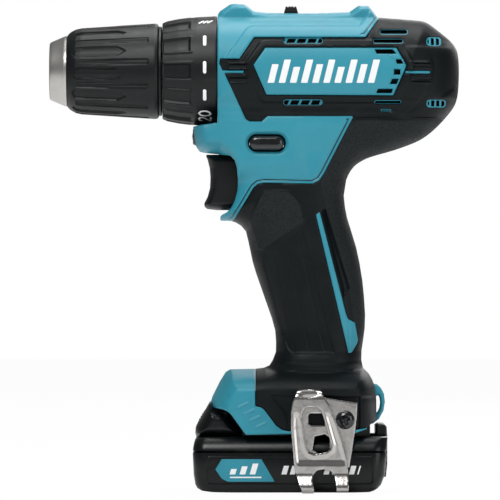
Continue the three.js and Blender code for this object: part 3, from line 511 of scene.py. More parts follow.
SIDES = ((-1, "left"), (1, "right"))
for side, name in SIDES:
    cut = lambda x, z, side=side: np.minimum(hard_cut(x, z), off_screws(x, z, side))
    points, faces = relief(
        (-45, 24, 46, 217.5), 0.45, lambda x, z: np.minimum(cut(x, z), side_depth(x, z)), teal_face, hollow,
        across(side), edge=cut, crowd=(side_depth, 3.2))
    shell = add_piece(f"hard_shell_{name}", points, faces, teal_plastic, "housing", "teal_plastic",
                      [f"housing_{name}"])
    # the groove's line is stored for the teal material, which darkens it as painted shade
    write_layer(shell, "groove", groove_line)

# ---------------------------------------------------------------- soft grip
# Black thermoplastic rubber moulded over the handle, the base and the motor's cover, about 2 mm thick.
# It has slots for the cooling air, stippled palm pads, a smooth sunk side panel and a sharp border lip.
PANEL_OUTLINE = [(-11.5, 196), (-16.8, 188.3), (-11, 175.1), (45, 174.9), (50.8, 188), (46.3, 196)]
STRIPE_OUTLINE = [
    (10.9, 122.4), (12.6, 123.6), (24.4, 78), (25.2, 76.2), (28.3, 74.6), (29.7, 67), (29.3, 65.4),
    (26.9, 61.4), (25.4, 61.2),
]
SCOOP_OUTLINE = [(13.2, 124.6), (15.2, 125.6), (26, 90.4), (25.6, 88.8), (23.2, 84.8)]
GRIP_PANEL = [(-12.6, 105.6), (-12.6, 101), (-3.4, 68), (-1.4, 62.6), (1, 60.8), (19.5, 60.6), (9, 101),
              (5, 117)]
GRIP_LINES = [[(-7.6, 105), (1.2, 64)], [(-2, 109), (8, 63)], [(3.4, 112), (14.6, 62.6)]]
BASE_FLAT = [(-15.9, 43.4), (-11, 43.2), (-9.2, 42.4), (-3, 35), (-1.5, 28), (-1.5, 20), (60, 20), (60, 42)]
CLIP_SEAT = [(14.6, 26), (14.6, 42.4), (30.2, 42.4), (30.2, 26)]
PALM_PAD = [(-14, 131), (-12, 133.4), (-1, 133.2), (2.2, 130.4), (4.7, 127), (6.4, 120.2), (5.6, 118.2),
            (-12.4, 106.4), (-15.4, 107.2), (-19, 119.5)]
VENTS = [  # from x, to x, middle z, half height
    (-3.6, 14, 199.0, 1.25), (36, 49.4, 198.9, 1.1), (39, 51.6, 203.1, 1.2), (59.8, 66.2, 198.8, 1.9),
    (-3.6, 14, 171.9, 1.3), (36.6, 48.6, 172.1, 0.8), (39.4, 44.2, 168.5, 0.5), (59.8, 68.2, 171.5, 1.6),
]
RIBS = [(-28, -19, z) for z in (189.2, 187.8, 186.6, 183.2, 181.9, 180.6)]
RIBS += [(52.4, 62, z) for z in (189.6, 188.3, 187.0, 182.9, 181.6, 180.3)]


def vents_depth(x, z, grow=0.0):
    """Depth inside any of the cooling slots, each grown by that much."""
    return np.maximum.reduce([slot_depth(x, z, x0, x1, mid, half) + grow for x0, x1, mid, half in VENTS])


def soft_cut(x, z):
    """Depth inside the soft grip: on its own outline, off the panel, the stripe, the slots and the bay."""
    cut = np.minimum(depth(x, z, SOFT_OUTLINE), depth(x, z, FRONT_AND_BAY))
    cut = np.minimum(cut, -depth(x, z, PANEL_OUTLINE) - 0.25)
    cut = np.minimum(cut, -depth(x, z, STRIPE_OUTLINE) - 0.03)
    seam = slot_depth(x, z, 50, 61.5, 185.1, 0.65)
    return np.minimum(np.minimum(cut, -vents_depth(x, z)), -seam)


def soft_face(x, z):
    """The soft grip's outside: a lip round the side panel, ribs, raised motor band, sunk grip panel."""
    off_panel = -depth(x, z, PANEL_OUTLINE)
    lip = 0.9 * ramp(3.7 - off_panel, 0, 0.8)
    band = 0.7 * ramp(x, 49, 52) * ramp(z, 172.6, 174.2) * ramp(197.4 - z, 0, 1.6)
    cap = -0.55 * ramp(x + 0.035 * (z - 186) ** 2, 61.6, 63.4) * (z > 165)
    ribs = 0.0
    for x0, x1, middle in RIBS:
        ribs = ribs + 0.6 * ramp(slot_depth(x, z, x0, x1, middle, 0.48), -0.15, 0.3)
    border = depth(x, z, GRIP_PANEL)
    sunk = -0.7 * ramp(border, -0.1, 0.6)
    fine = -0.35 * ramp(lines_depth(x, z, GRIP_LINES, 0.42), -0.1, 0.35)
    pad = 0.6 * ramp(depth(x, z, PALM_PAD), -0.1, 0.7)
    scoop = -1.9 * ramp(depth(x, z, SCOOP_OUTLINE), -0.2, 1.5)
    ledge = -1.3 * ramp(165.6 - z, 0, 0.9) * ramp(z, 160, 165.2) * ramp(x, 26, 29) * ramp(54 - x, 0, 4)
    base = -0.9 * ramp(depth(x, z, BASE_FLAT), -0.2, 0.9)
    clip_seat = -1.0 * ramp(depth(x, z, CLIP_SEAT), -0.1, 0.5) * (z < 45)
    waist = -0.5 * np.exp(-(((z - 56.4) / 1.6) ** 2))
    raised = lip + band + ribs + pad
    return half_width(x, z) + raised + cap + sunk + fine + scoop + ledge + base + clip_seat + waist


def soft_hollow(x, z):
    """The soft grip's inside, deeper under the scoop beside the stripe."""
    return np.maximum(hollow(x, z) - 2.2 * ramp(depth(x, z, SCOOP_OUTLINE), -3, -1), 0.1)


def rubber(at):
    """Moulded rubber: leathery stipple on the palm pads and the back, a satin skin elsewhere, dust in it."""
    rough_part = layer(at, "stipple")
    cells = at.node("ShaderNodeTexVoronoi", None, {"Vector": at, "Scale": 1400.0})
    pebble = noise(at, 1.25, 3) + cells * 0.4
    fine = noise(at, 4.5, 3)
    dust = step(at, noise(at, 0.09, 5), 0.45, 0.75)
    skin_shade = blend(at, dust * 0.6 + fine * 0.2, (0.0020, 0.0042, 0.0052), (0.0055, 0.0088, 0.0102))
    pale = rough_part * step(at, pebble, 0.35, 0.85)
    return {
        "Base Color": blend(at, pale, skin_shade, (0.0125, 0.0165, 0.018)),
        "Roughness": 0.44 + dust * 0.12 + rough_part * 0.16,
        "Normal": bump(at, pebble * rough_part + fine * 0.15, 0.35, 0.9),
    }


soft_grip = material("soft_grip", rubber, Specular_IOR_Level=0.18)


def stipple(x, z):
    """1 where the rubber is stippled: the palm pad and all of the handle's back and upper part."""
    back = ramp(x - np.interp(z, [60, 85, 125, 140, 166], [29, 26.5, 15.5, 12, 24]), -0.2, 0.8)
    back = back * ramp(z, 66, 70) * ramp(164.6 - z, 0, 0.8)
    pad = ramp(depth(x, z, PALM_PAD), 0.2, 1.0)
    return np.maximum(pad, back) * (1 - ramp(depth(x, z, SCOOP_OUTLINE), -0.3, 0.3))


for side, name in SIDES:
    cut = lambda x, z, side=side: np.minimum(soft_cut(x, z), off_screws(x, z, side))
    points, faces = relief(
        (-33, 25, 77, 217), 0.5, lambda x, z: np.minimum(cut(x, z), side_depth(x, z)), soft_face, soft_hollow,
        across(side), edge=cut, crowd=(side_depth, 3.2))
    piece = add_piece(f"soft_grip_{name}", points, faces, soft_grip, "housing", "soft_grip", [f"grip_{name}"])
    write_layer(piece, "stipple", stipple)

# ---------------------------------------------------------------- side panel
# A teal cover plate let into the motor's side, a little proud of the rubber, with its own air slots.
# Slanted white bars are printed on it, and a groove follows its rear end.
PANEL_HOLES = [
    [(36.6, 195.2), (37.6, 193.2), (46.4, 193.2), (44.6, 195.2)],
    [(45.8, 190.8), (46.6, 188.8), (49.4, 188.8), (48.4, 190.8)],
    [(45.2, 186.4), (45.2, 184.0), (48.0, 184.0), (48.0, 186.4)],
    [(44.4, 182.2), (43.4, 179.9), (46.4, 179.9), (47.4, 182.2)],
    [(37.2, 175.9), (38.2, 177.8), (44.8, 177.8), (44.2, 175.9)],
]
REAR_CREASE = [[(45.6, 195.4), (42.6, 192.4), (47.8, 187.8), (42.2, 178), (44.4, 175.6)]]


def off_side(gap):
    """Heights that stand gap proud of the housing's side, or sunk where gap is negative."""
    return lambda x, z: half_width(x, z) + gap


def panel_cut(x, z):
    holes = np.maximum.reduce([depth(x, z, hole) for hole in PANEL_HOLES])
    return np.minimum(depth(x, z, PANEL_OUTLINE) - 0.1, -holes)


def panel_face(x, z):
    groove = -0.35 * ramp(lines_depth(x, z, REAR_CREASE, 0.5), -0.2, 0.3)
    return half_width(x, z) + 0.7 + groove


BAR_HEIGHTS = [8.2, 10.2, 7.0, 10.2, 8.2, 10.2, 7.0, 10.2, 8.2, 10.2]
BAR_STEP = 4.9


def bars_depth(x, z):
    """Depth inside any of the slanted bars, which lean to the rear by a quarter of their height."""
    best = -99.0
    for k, height in enumerate(BAR_HEIGHTS):
        lean = x + 10.5 - BAR_STEP * k - 0.25 * (z - 180.4)
        bar = np.minimum(np.minimum(lean, 2.9 - lean), np.minimum(z - 180.4, 180.4 + height - z))
        best = np.maximum(best, bar)
    return best


def print_white(at):
    """White pad print with a slightly uneven ink film."""
    film = noise(at, 1.6, 4)
    return {
        "Base Color": blend(at, film, (0.80, 0.82, 0.83), (0.92, 0.93, 0.93)),
        "Roughness": 0.32 + film * 0.2,
        "Normal": bump(at, film, 0.02, 0.5),
    }


white_print = material("white_print", print_white)
for side, name in SIDES:
    points, faces = relief((-18, 174, 52, 197), 0.4, panel_cut, panel_face, off_side(-1.6),
                           across(side))
    add_piece(f"side_panel_{name}", points, faces, teal_plastic, "housing", "teal_plastic")
    points, faces = relief((-12, 179.5, 41, 191.5), 0.25, bars_depth, off_side(0.8),
                           off_side(0.55), across(side), round_mm=0.06)
    add_piece(f"side_bars_{name}", points, faces, white_print, "housing", "teal_plastic")

# ---------------------------------------------------------------- grip stripe and slot liners
# The teal shell shows through the rubber as a long stripe that widens at its foot, and as a liner with
# slanted guides behind every cooling slot. A thin black sheet behind each slot is painted shade: it darkens
# the opening as the shadow inside would.
def within(outline):
    """The depth inside an outline, for a relief's region."""
    return lambda u, v: depth(u, v, outline)


STRIPE_INNER = [(25.4, 75.6), (27.4, 74.2), (28.6, 67), (28.2, 65.6), (26.6, 63), (25.9, 63)]
for side, name in SIDES:
    points, faces = relief(
        (10, 60, 31, 125), 0.35, within(STRIPE_OUTLINE),
        lambda x, z: half_width(x, z) - 0.15 - 0.25 * np.exp(-((depth(x, z, STRIPE_INNER) / 0.35) ** 2)),
        off_side(-4.5), across(side), round_mm=0.3)
    add_piece(f"grip_stripe_{name}", points, faces, teal_plastic, "housing", "teal_plastic")


def liner_cut(x, z):
    """Each slot grown by 1 mm, less the slot drawn in by 0.45 mm, plus guides 1 mm wide every 4.6 mm."""
    open_part = vents_depth(x, z, -0.3)
    across_guides = (x - 0.45 * (z - 186) + 1.3) % 4.6 - 2.3
    guides = np.where(x < 56, 0.5 - np.abs(across_guides), 0.45 - np.abs((x - 62.4) % 2.3 - 1.15))
    no_guide = (x > 30) & (x < 56)
    return np.minimum(vents_depth(x, z, 1.0), np.maximum(-open_part, np.where(no_guide, -9, guides)))


def screen_depth(x, z):
    """Every cooling slot and panel hole grown by 1.6 mm, for the thin black sheets of painted shade behind
    them.
    """
    holes = np.maximum.reduce([depth(x, z, hole) for hole in PANEL_HOLES])
    return np.maximum(vents_depth(x, z, 1.6), holes + 1.2)


for side, name in SIDES:
    points, faces = relief((-6, 166, 71, 206), 0.3, liner_cut, off_side(-0.75),
                           off_side(-2.2), across(side), round_mm=0.2)
    add_piece(f"slot_liners_{name}", points, faces, teal_plastic, "housing", "teal_plastic")
    # painted shade: black sheets behind the slots and panel holes, darkening them as shadow inside would
    points, faces = relief((-7, 165, 72, 207), 0.5, screen_depth, off_side(-3.2),
                           off_side(-3.8), across(side), round_mm=0.1)
    add_piece(f"shade_screens_{name}", points, faces, soft_grip, "housing", "soft_grip")
    points, faces = relief((49, 184, 63, 186.5), 0.3, lambda x, z: slot_depth(x, z, 50.2, 61.2, 185.1, 0.55),
                           off_side(0.75), off_side(-1.5),
                           across(side), round_mm=0.2)
    add_piece(f"seam_strip_{name}", points, faces, teal_plastic, "housing", "teal_plastic")


# ---------------------------------------------------------------- screw wells and battery bay
# Round wells lead down to the six housing screws on the right, and the bay's ceiling closes the base
# over the battery, with a rail down each side for the battery to slide on.


def skin(rings, closed=False):
    """A closed skin over rings of points (rings, points, 3). Its ends are closed by fans, unless closed
    is set, which joins the last ring to the first."""
    m, n, _ = rings.shape
    index = np.arange(m * n).reshape(m, n)
    ahead = np.roll(index, -1, 1)
    if closed:
        below, after = np.roll(index, -1, 0), np.roll(ahead, -1, 0)
        quads = np.stack([index, ahead, after, below], -1).reshape(-1, 4)
        return rings.reshape(-1, 3), [quads]
    quads = np.stack([index[:-1], ahead[:-1], ahead[1:], index[1:]], -1).reshape(-1, 4)
    points = np.concatenate([rings.reshape(-1, 3), [rings[0].mean(0)], [rings[-1].mean(0)]])
    start = np.stack([ahead[0], index[0], np.full(n, m * n)], -1)
    end = np.stack([index[-1], ahead[-1], np.full(n, m * n + 1)], -1)
    return points, [quads, start, end]


def joined(parts):
    """Several closed skins as one."""
    points, faces, count = [], [], 0
    for part_points, part_faces in parts:
        points.append(part_points)
        faces += [ring + count for ring in part_faces]
        count += len(part_points)
    return np.concatenate(points), faces


def turned(profile, axis, at, steps=48, closed=False):
    """A profile of (along, radius) pairs turned about the line through at along the axis X, Y or Z."""
    angle = np.arange(steps) * 2 * pi / steps
    along, radius = np.array(profile, float).T
    rings = np.empty((len(along), steps, 3))
    first, second = [k for k in range(3) if k != axis]
    rings[:, :, axis] = at[axis] + along[:, None]
    rings[:, :, first] = at[first] + radius[:, None] * np.cos(angle)
    rings[:, :, second] = at[second] + radius[:, None] * np.sin(angle)
    return skin(rings, closed)


wells = []
for x, z, seat in SCREWS:
    top = float(half_width(np.array([x]), np.array([z]))[0]) - 0.35
    bottom = seat + 0.3
    wells.append(turned([(bottom, 3.35), (top, 3.5), (top, 4.3), (bottom, 4.3)], 1, (x, 0, z), closed=True))
points, faces = joined(wells)
add_piece("screw_wells", points, faces, teal_plastic, "housing", "teal_plastic")

def level(height):
    """The same height all over the map."""
    return lambda u, v: np.full(np.shape(u), height)


BAY_OUTLINE = [(-22, 43.4), (-22, 41.9), (33, 41.9), (33, 43.4)]
points, faces = relief((-23, 41, 36, 44.5), 0.5, within(BAY_OUTLINE),
                       lambda x, z: np.minimum(29, half_width(x, 0 * z + 42) - 3), None, across(1),
                       round_mm=0.5)
bay = [(points, faces)]
for side in (-1, 1):
    points, faces = relief((-21, 36.5, 35, 42.5), 0.5, within([(-20, 37), (-20, 42.2), (31, 42.2), (31, 37)]),
                           level(27.4), level(23.4), across(side))
    bay.append((points, faces))
points, faces = joined(bay)
add_piece("battery_bay", points, faces, teal_plastic, "housing", "teal_plastic")

# ---------------------------------------------------------------- chuck sleeve
# The keyless chuck's grip sleeve: glass-filled nylon, turned by hand to open and close the jaws.
# Twelve arrow-ended flutes run along it, with a sunk and finely ribbed strip between each two.
AXIS_Z = 186.3
SLEEVE_LINE = [
    (-99.4, 15.6), (-99.2, 16.1), (-98, 17.3), (-95.6, 18.7), (-93, 19.25), (-78, 20.2), (-60.3, 21.25),
    (-59.2, 21.0), (-58.7, 20.2),
]
TURNS = 12
FULL_TURN = np.arange(720) * 2 * pi / 720


def round_axis(x, angle, radius):
    """Points round the spindle's axis. The angle is 0 towards -Y and grows upwards."""
    return np.stack([x, -radius * np.cos(angle), AXIS_Z + radius * np.sin(angle)], -1)


def plain_rings(line, angles):
    """Rings of points round the axis, one for each (x, radius) of a line."""
    x, radius = np.array(line, float).T
    return round_axis(x[:, None] + 0 * angles, angles + 0 * x[:, None], radius[:, None])


def dense(line, pitch):
    """A line of (x, radius) points with more put between them, at most pitch apart along x."""
    xs, rs = [line[0][0]], [line[0][1]]
    for (ax, ar), (bx, br) in zip(line, line[1:]):
        n = max(int(np.ceil(np.hypot(bx - ax, br - ar) / pitch)), 1)
        xs += list(ax + (bx - ax) * np.arange(1, n + 1) / n)
        rs += list(ar + (br - ar) * np.arange(1, n + 1) / n)
    return np.array(xs), np.array(rs)


def sleeve_relief(x, angle, radius):
    """Flutes 0.9 mm deep that end in a point at x = -73, and strips 0.45 mm deep with cross ribs."""
    turn = 2 * pi / TURNS
    flute = np.abs((angle + radians(5) + turn / 2) % turn - turn / 2) * radius
    half = 2.75 * np.clip((-72.6 - x) / 4.6, 0, 1) * ramp(x, -97.5, -95.5)
    cutting = 0.95 * ramp(half - flute, 0, 0.7) * (0.75 + 0.25 * np.clip(flute / 2.2, 0, 1))
    strip = np.abs((angle - radians(10) + turn / 2) % turn - turn / 2) * radius
    inside = np.minimum(1.5 - strip, np.minimum(x + 95.6, -63 - x))
    ribs = 0.16 * (0.5 + 0.5 * np.cos(2 * pi * strip / 0.62)) * (inside > 0.3)
    return radius - cutting - 0.5 * ramp(inside, 0, 0.35) + ribs


x, r = dense(SLEEVE_LINE, 0.55)
xx, aa = np.meshgrid(x, FULL_TURN, indexing="ij")
outside = round_axis(xx, aa, sleeve_relief(xx, aa, np.broadcast_to(r[:, None], xx.shape)))
inside = plain_rings([(-58.7, 16.6), (-99.4, 15.0)], FULL_TURN)
points, faces = skin(np.concatenate([outside, inside]), closed=True)


def moulded_black(at):
    """Glass-filled nylon: spark-eroded grain, a dull sheen, and faint pale scuffs in random patches."""
    grain = noise(at, 6, 3)
    scuff = step(at, noise(at, 0.35, 8, (0.4, 1, 1)), 0.58, 0.72)
    worn = scuff * 0.5 + grain * 0.15
    return {
        "Base Color": blend(at, worn, (0.0019, 0.0027, 0.0032), (0.0100, 0.0122, 0.0136)),
        "Roughness": 0.36 + grain * 0.12 - scuff * 0.06,
        "Normal": bump(at, grain, 0.045, 0.7),
    }


black_plastic = material("black_plastic", moulded_black, Specular_IOR_Level=0.3)
add_piece("chuck_grip_sleeve", points, faces, black_plastic, "sleeve", "black_plastic", ["chuck_sleeve"])

# A ring behind the sleeve keeps dirt out of the gap before the torque ring.
BACK_RING = [(-57.4, 13.8), (-57.4, 19.5), (-57.7, 19.9), (-58.5, 19.9), (-58.9, 19.4), (-58.9, 13.8)]
points, faces = skin(plain_rings(BACK_RING, FULL_TURN[::4]), closed=True)
add_piece("sleeve_back_ring", points, faces, black_plastic, "sleeve", "black_plastic")

# ---------------------------------------------------------------- chuck nose
# The chuck's steel body runs through the sleeve and shows in front of it as a turned cone. Its bore holds
# the three jaws and the bit. It is bright, with fine turning marks and a rolled edge.
BODY_LINE = [
    (-107.0, 7.4), (-107.2, 8.0), (-107.2, 12.2), (-106.9, 12.75), (-106.0, 13.2), (-100.6, 15.5),
    (-99.6, 15.7),
]
BODY_BACK = [(-99.3, 13.4), (-59.2, 13.4), (-59.2, 6.3), (-101.0, 6.3), (-106.6, 6.9)]


def turned_steel(at):
    """Turned steel: rings about the X axis from noise drawn out across it, and a thin film of oil."""
    rings = noise(at, 3.0, 4, (1, 0.02, 0.02))
    film = noise(at, 0.12, 3)
    return {
        "Base Color": blend(at, film, (0.40, 0.385, 0.365), (0.56, 0.55, 0.53)),
        "Roughness": 0.24 + rings * 0.16 + film * 0.06,
        "Normal": bump(at, rings, 0.02, 0.5),
    }


bright_steel = material("bright_steel", turned_steel, Metallic=1.0)
body_line = [*zip(*dense(BODY_LINE, 0.5)), *BODY_BACK]
points, faces = skin(plain_rings(body_line, FULL_TURN[::4]), closed=True)
add_piece("chuck_nose_cap", points, faces, bright_steel, "chuck", "bright_steel", ["chuck_body"])

# ---------------------------------------------------------------- torque ring
# The torque collar: a moulded ring with twelve shallow finger pockets at its front and printed settings
# round its rear. Numbers stand at every other click, with a drill mark after the highest.
RING_LINE = [
    (-57.1, 20.6), (-57.1, 21.2), (-56.7, 21.7), (-50, 23.05), (-42, 24.05), (-33.5, 24.5),
    (-32.9, 24.4), (-32.72, 24.0),
]


def ring_relief(x, angle, radius):
    """Pockets 16 degrees wide and 0.75 mm deep, open at the front, with a low bead along each side."""
    turn = 2 * pi / TURNS
    off = np.abs((angle + radians(1.5) + turn / 2) % turn - turn / 2) * 23
    inside = np.minimum(3.25 - off, -44.6 - x)
    bead = 0.45 * np.exp(-(((off - 3.7) / 0.45) ** 2)) * ramp(-43.2 - x, 0, 1.5) * ramp(x, -57, -54.5)
    return radius - 0.75 * ramp(inside, -0.1, 0.45) * ramp(x, -57.3, -56.2) + bead


x, r = dense(RING_LINE, 0.5)
xx, aa = np.meshgrid(x, FULL_TURN, indexing="ij")
outside = round_axis(xx, aa, ring_relief(xx, aa, np.broadcast_to(r[:, None], xx.shape)))
inside = plain_rings([(-32.72, 20.9), (-54, 20.9), (-54, 14.4), (-57.1, 14.4)], FULL_TURN)
points, faces = skin(np.concatenate([outside, inside]), closed=True)
add_piece("torque_collar_ring", points, faces, black_plastic, "torque_collar", "black_plastic",
          ["torque_ring"])

GLYPHS = {  # strokes in a box 0.62 wide and 1 high
    "0": [[(0.31, 1), (0.08, 0.86), (0, 0.6), (0, 0.4), (0.08, 0.14), (0.31, 0), (0.54, 0.14), (0.62, 0.4),
           (0.62, 0.6), (0.54, 0.86), (0.31, 1)]],
    "1": [[(0.12, 0.76), (0.38, 1), (0.38, 0)]],
    "2": [[(0, 0.76), (0.08, 0.92), (0.31, 1), (0.54, 0.92), (0.6, 0.72), (0.5, 0.5), (0, 0), (0.62, 0)]],
    "5": [[(0.58, 1), (0.06, 1), (0.02, 0.56), (0.3, 0.62), (0.54, 0.5), (0.62, 0.3), (0.5, 0.08), (0.28, 0),
           (0, 0.1)]],
    "/": [[(0.0, 0.12), (0.12, 0.3), (0.3, 0.1), (0.42, 0.28)]],
}
RING_WORDS = {-2: "20", -4: "15", -6: "10", 5: "5", 3: "1"}  # click number and what is printed at it
CLICKS = range(-6, 6)
DRILL_CLICK = 2
PRINT_RADIUS = 24.3


def print_lines(click):
    """The strokes printed at a click, on a map of x and the arc along the ring at PRINT_RADIUS."""
    centre = radians(2.5 + 30 * click) * PRINT_RADIUS
    if click == DRILL_CLICK:
        return [[(-40.6 + 1.9 * k, centre - 0.9), (-38.9 + 1.9 * k, centre + 0.9)] for k in range(3)], 0.5
    word = RING_WORDS.get(click)
    if word is None:
        return [[(-38.2, centre - 2.0), (-38.2, centre + 2.0)]], 0.75
    high, gap = 5.2, 1.3
    wide = 0.62 * high
    start = centre - (len(word) * wide + (len(word) - 1) * gap) / 2
    lines = []
    for k, glyph in enumerate(word):
        for line in GLYPHS[glyph]:
            lines.append([(-35.6 - b * high, start + k * (wide + gap) + a * high) for a, b in line])
    return lines, 0.42


def on_ring(x, arc, height):
    return round_axis(x, arc / PRINT_RADIUS, height)


ring_x, ring_r = np.array(RING_LINE[2:6]).T
marks = []
for click in CLICKS:
    lines, half = print_lines(click)
    spots = np.array([spot for line in lines for spot in line])
    (x0, v0), (x1, v1) = spots.min(0) - 1.2, spots.max(0) + 1.2
    marks.append(relief(
        (x0, v0, x1, v1), 0.14, lambda u, v, lines=lines, half=half: lines_depth(u, v, lines, half),
        lambda u, v: np.interp(u, ring_x, ring_r) + 0.08, lambda u, v: np.interp(u, ring_x, ring_r) - 0.1,
        on_ring, round_mm=0.05))
points, faces = joined(marks)
add_piece("torque_marks", points, faces, white_print, "torque_collar", "black_plastic")

# ---------------------------------------------------------------- trigger, lever and selector
# The controls are black mouldings: a finger-hollowed trigger, a glossy reversing lever that runs
# through the body and stands out on both sides, and a ribbed speed selector in a slot on top.
TRIGGER_OUTLINE = [(-38.0, 149.2), (-37.0, 146.8), (-36.1, 143), (-35.8, 139), (-36, 134.4), (-37, 130.6),
                   (-38.6, 127.4), (-38.4, 126), (-37.2, 125), (-33, 124.5), (-12, 124.5), (-12, 149.4)]


def gloss_black(at):
    """Polished ABS: almost smooth, with faint haze and finger marks."""
    haze = noise(at, 0.4, 5)
    return {
        "Base Color": blend(at, haze, (0.0045, 0.0055, 0.0062), (0.0095, 0.011, 0.012)),
        "Roughness": 0.12 + step(at, haze, 0.4, 0.8) * 0.16,
        "Normal": bump(at, noise(at, 1.4, 2), 0.01, 0.4),
    }


gloss = material("gloss_black", gloss_black, Coat_Weight=0.3, Coat_Roughness=0.12)


TRIGGER_BACK = -19.2


def trigger_depth(x, z):
    """Depth inside the trigger from the side: its finger face, and the stem that enters the switch."""
    stem = np.minimum(np.minimum(-12.2 - x, x + 22), np.minimum(z - 130.2, 142.8 - z))
    return np.maximum(np.minimum(depth(x, z, TRIGGER_OUTLINE), TRIGGER_BACK - x), stem)


def trigger_half(x, z):
    """Half the trigger's width: its front edges are rounded by 4 mm, and its stem is narrow."""
    return np.where(x > TRIGGER_BACK, 3.8, 9.9 * pillow(depth(x, z, TRIGGER_OUTLINE), 3.6, 2.3) + 0.1)


points, faces = relief(
    (-39.5, 123.5, -11, 150.5), 0.4, trigger_depth, trigger_half, None, across(1),
    crowd=(within(TRIGGER_OUTLINE), 2.0), round_mm=0.05)
add_piece("trigger_lever", points, faces, black_plastic, "trigger", "gloss_black", ["trigger"])


def lever_depth(x, z):
    return slot_depth(x, z, -18.4, -3.2, LEVER_Z, 3.2)


def lever_half(x, z):
    """The lever's ends are domed by 1.9 mm."""
    return 22.2 + 1.9 * pillow(lever_depth(x, z), 2.8, 2.2)


points, faces = relief((-19.5, 150, -2, 158), 0.25, lever_depth, lever_half, None, across(1),
                       crowd=(lever_depth, 1.2), round_mm=0.05)
add_piece("reversing_lever", points, faces, gloss, "direction_lever", "gloss_black", ["direction_lever"])


def guide_depth(x, z):
    """Depth inside the liner round the lever, which is 0.15 mm clear of it."""
    return np.minimum(slot_depth(x, z, -20.6, -1.0, LEVER_Z, 5.4), -lever_depth(x, z) - 0.15)


guides = [relief((-21.5, 148, 0, 160), 0.3, guide_depth,
                 level(16.5), level(13.0), across(side))
          for side in (-1, 1)]
add_piece("lever_guides", *joined(guides), black_plastic, "housing", "black_plastic")

KNOB_OUTLINE = [
    (-3.2, 210.2), (-3.2, 212), (-2.3, 215.0), (-1.7, 215.0), (-1.3, 214.5), (-0.9, 215.1),
    (-0.3, 215.1), (0, 214.6), (0.3, 215.1), (0.9, 215.1), (1.3, 214.5), (1.7, 215.0), (2.3, 215.0),
    (3.2, 212), (3.2, 210.2),
]
points, faces = relief((-4, 209.5, 4, 216), 0.14, within(KNOB_OUTLINE),
                       lambda x, z: 4.3 - 0.25 * ramp(z, 212.4, 215), None, across(1), round_mm=0.25)
plate = relief((-7, 207.5, 7, 211), 0.3, within([(-6, 208.2), (-6, 210.4), (6, 210.4), (6, 208.2)]),
               level(4.9), None, across(1), round_mm=0.2)
points, faces = joined([(points, faces), plate])
add_piece("speed_knob", points, faces, black_plastic, "speed_selector", "black_plastic", ["speed_selector"])

# ---------------------------------------------------------------- work light
# A clear domed lens in a black bezel, in the chin's nose above the trigger.
LAMP_AT = (-43.1, 0, 157.2)
lens_line = [(-0.9, 0.25), (-0.82, 0.9), (-0.55, 1.7), (-0.1, 2.3), (0.3, 2.5), (3.0, 2.5)]
points, faces = turned(lens_line, 0, LAMP_AT, 40)


def clear_lens(at):
    """Clear polycarbonate over a white emitter: a pale body with a faint frost of moulding lines."""
    frost = noise(at, 3.5, 3)
    return {
        "Base Color": blend(at, frost, (0.70, 0.76, 0.78), (0.86, 0.90, 0.90)),
        "Roughness": 0.05 + frost * 0.12,
        "Normal": bump(at, frost, 0.015, 0.3),
    }


lens_paint = material("lens", clear_lens, Coat_Weight=0.6, Coat_Roughness=0.05)
add_piece("lamp_lens", points, faces, lens_paint, "housing", "lens", ["work_light_lens"])
bezel_line = [(-0.2, 2.62), (-0.5, 2.8), (-0.5, 3.4), (0.6, 4.0), (2.4, 4.0), (2.4, 2.62)]
points, faces = turned(bezel_line, 0, LAMP_AT, 40, closed=True)
add_piece("lamp_bezel", points, faces, gloss, "housing", "gloss_black")

# ---------------------------------------------------------------- strap loop
# A teal eye moulded on the housing's rear edge for a wrist strap.
LOOP_OUTER = [
    (36.2, 47.4), (38.2, 47.2), (40, 45.6), (41.3, 43), (41.8, 39.4), (41.2, 35.4), (39.2, 31.8),
    (36.4, 29.6), (35.2, 29.6), (35.2, 47.4),
]
LOOP_HOLE = [
    (37.9, 41.9), (38.8, 42.2), (39.4, 41.2), (39.7, 38.9), (39.3, 36.4), (38.5, 34.8), (37.9, 34.4),
]


def loop_depth(x, z):
    return np.minimum(depth(x, z, LOOP_OUTER), -depth(x, z, LOOP_HOLE))


points, faces = relief((34.5, 29, 42.5, 48), 0.3, loop_depth,
                       lambda x, z: 1.9 + 1.5 * pillow(loop_depth(x, z), 1.1, 2.0), None, across(1),
                       round_mm=0.05)
add_piece("wrist_strap_loop", points, faces, teal_plastic, "housing", "teal_plastic")

# ---------------------------------------------------------------- battery case
# Two black shells of a slide-on battery pack: a lower tub, and an upper cover whose front wedge carries
# the release button. The tub's sides have a framed label field, a teal label and white printed bars.


def rounded_ring(z, x0, x1, half, corner, steps=10):
    """A level rectangle with round corners, as points counter-clockwise."""
    right, left, side = x1 - corner, x0 + corner, half - corner
    centres = [(right, side), (left, side), (left, -side), (right, -side)]
    ring = []
    for quarter, (cx, cy) in enumerate(centres):
        angle = (quarter + np.arange(steps + 1) / steps) * pi / 2
        ring.append(np.stack([cx + corner * np.cos(angle), cy + corner * np.sin(angle), 0 * angle + z], 1))
    return np.concatenate(ring)


def case_rings(levels):
    """Rings of (z, front, rear, half width, corner) levels."""
    return np.stack([rounded_ring(*level) for level in levels])


TUB_LEVELS = [
    (0, -32, 33, 26.6, 7), (0.15, -36, 35, 28.8, 7.5), (0.7, -39.4, 36.4, 30.2, 7.5),
    (1.9, -41.4, 38.2, 31.2, 7.2), (3.6, -42.3, 39.6, 31.7, 6.6), (8, -43.0, 41.2, 32.0, 6),
    (17.0, -43.4, 41.9, 32.0, 6), (17.6, -43.3, 41.8, 31.9, 6), (17.85, -42.9, 41.4, 31.5, 5.8),
]
inner = [(17.85, -41.4, 39.9, 30, 4.4), (6, -41, 39.2, 29.8, 4.4), (2.4, -40, 38, 29.2, 4)]
rings = case_rings(TUB_LEVELS + inner)
points, faces = skin(rings)


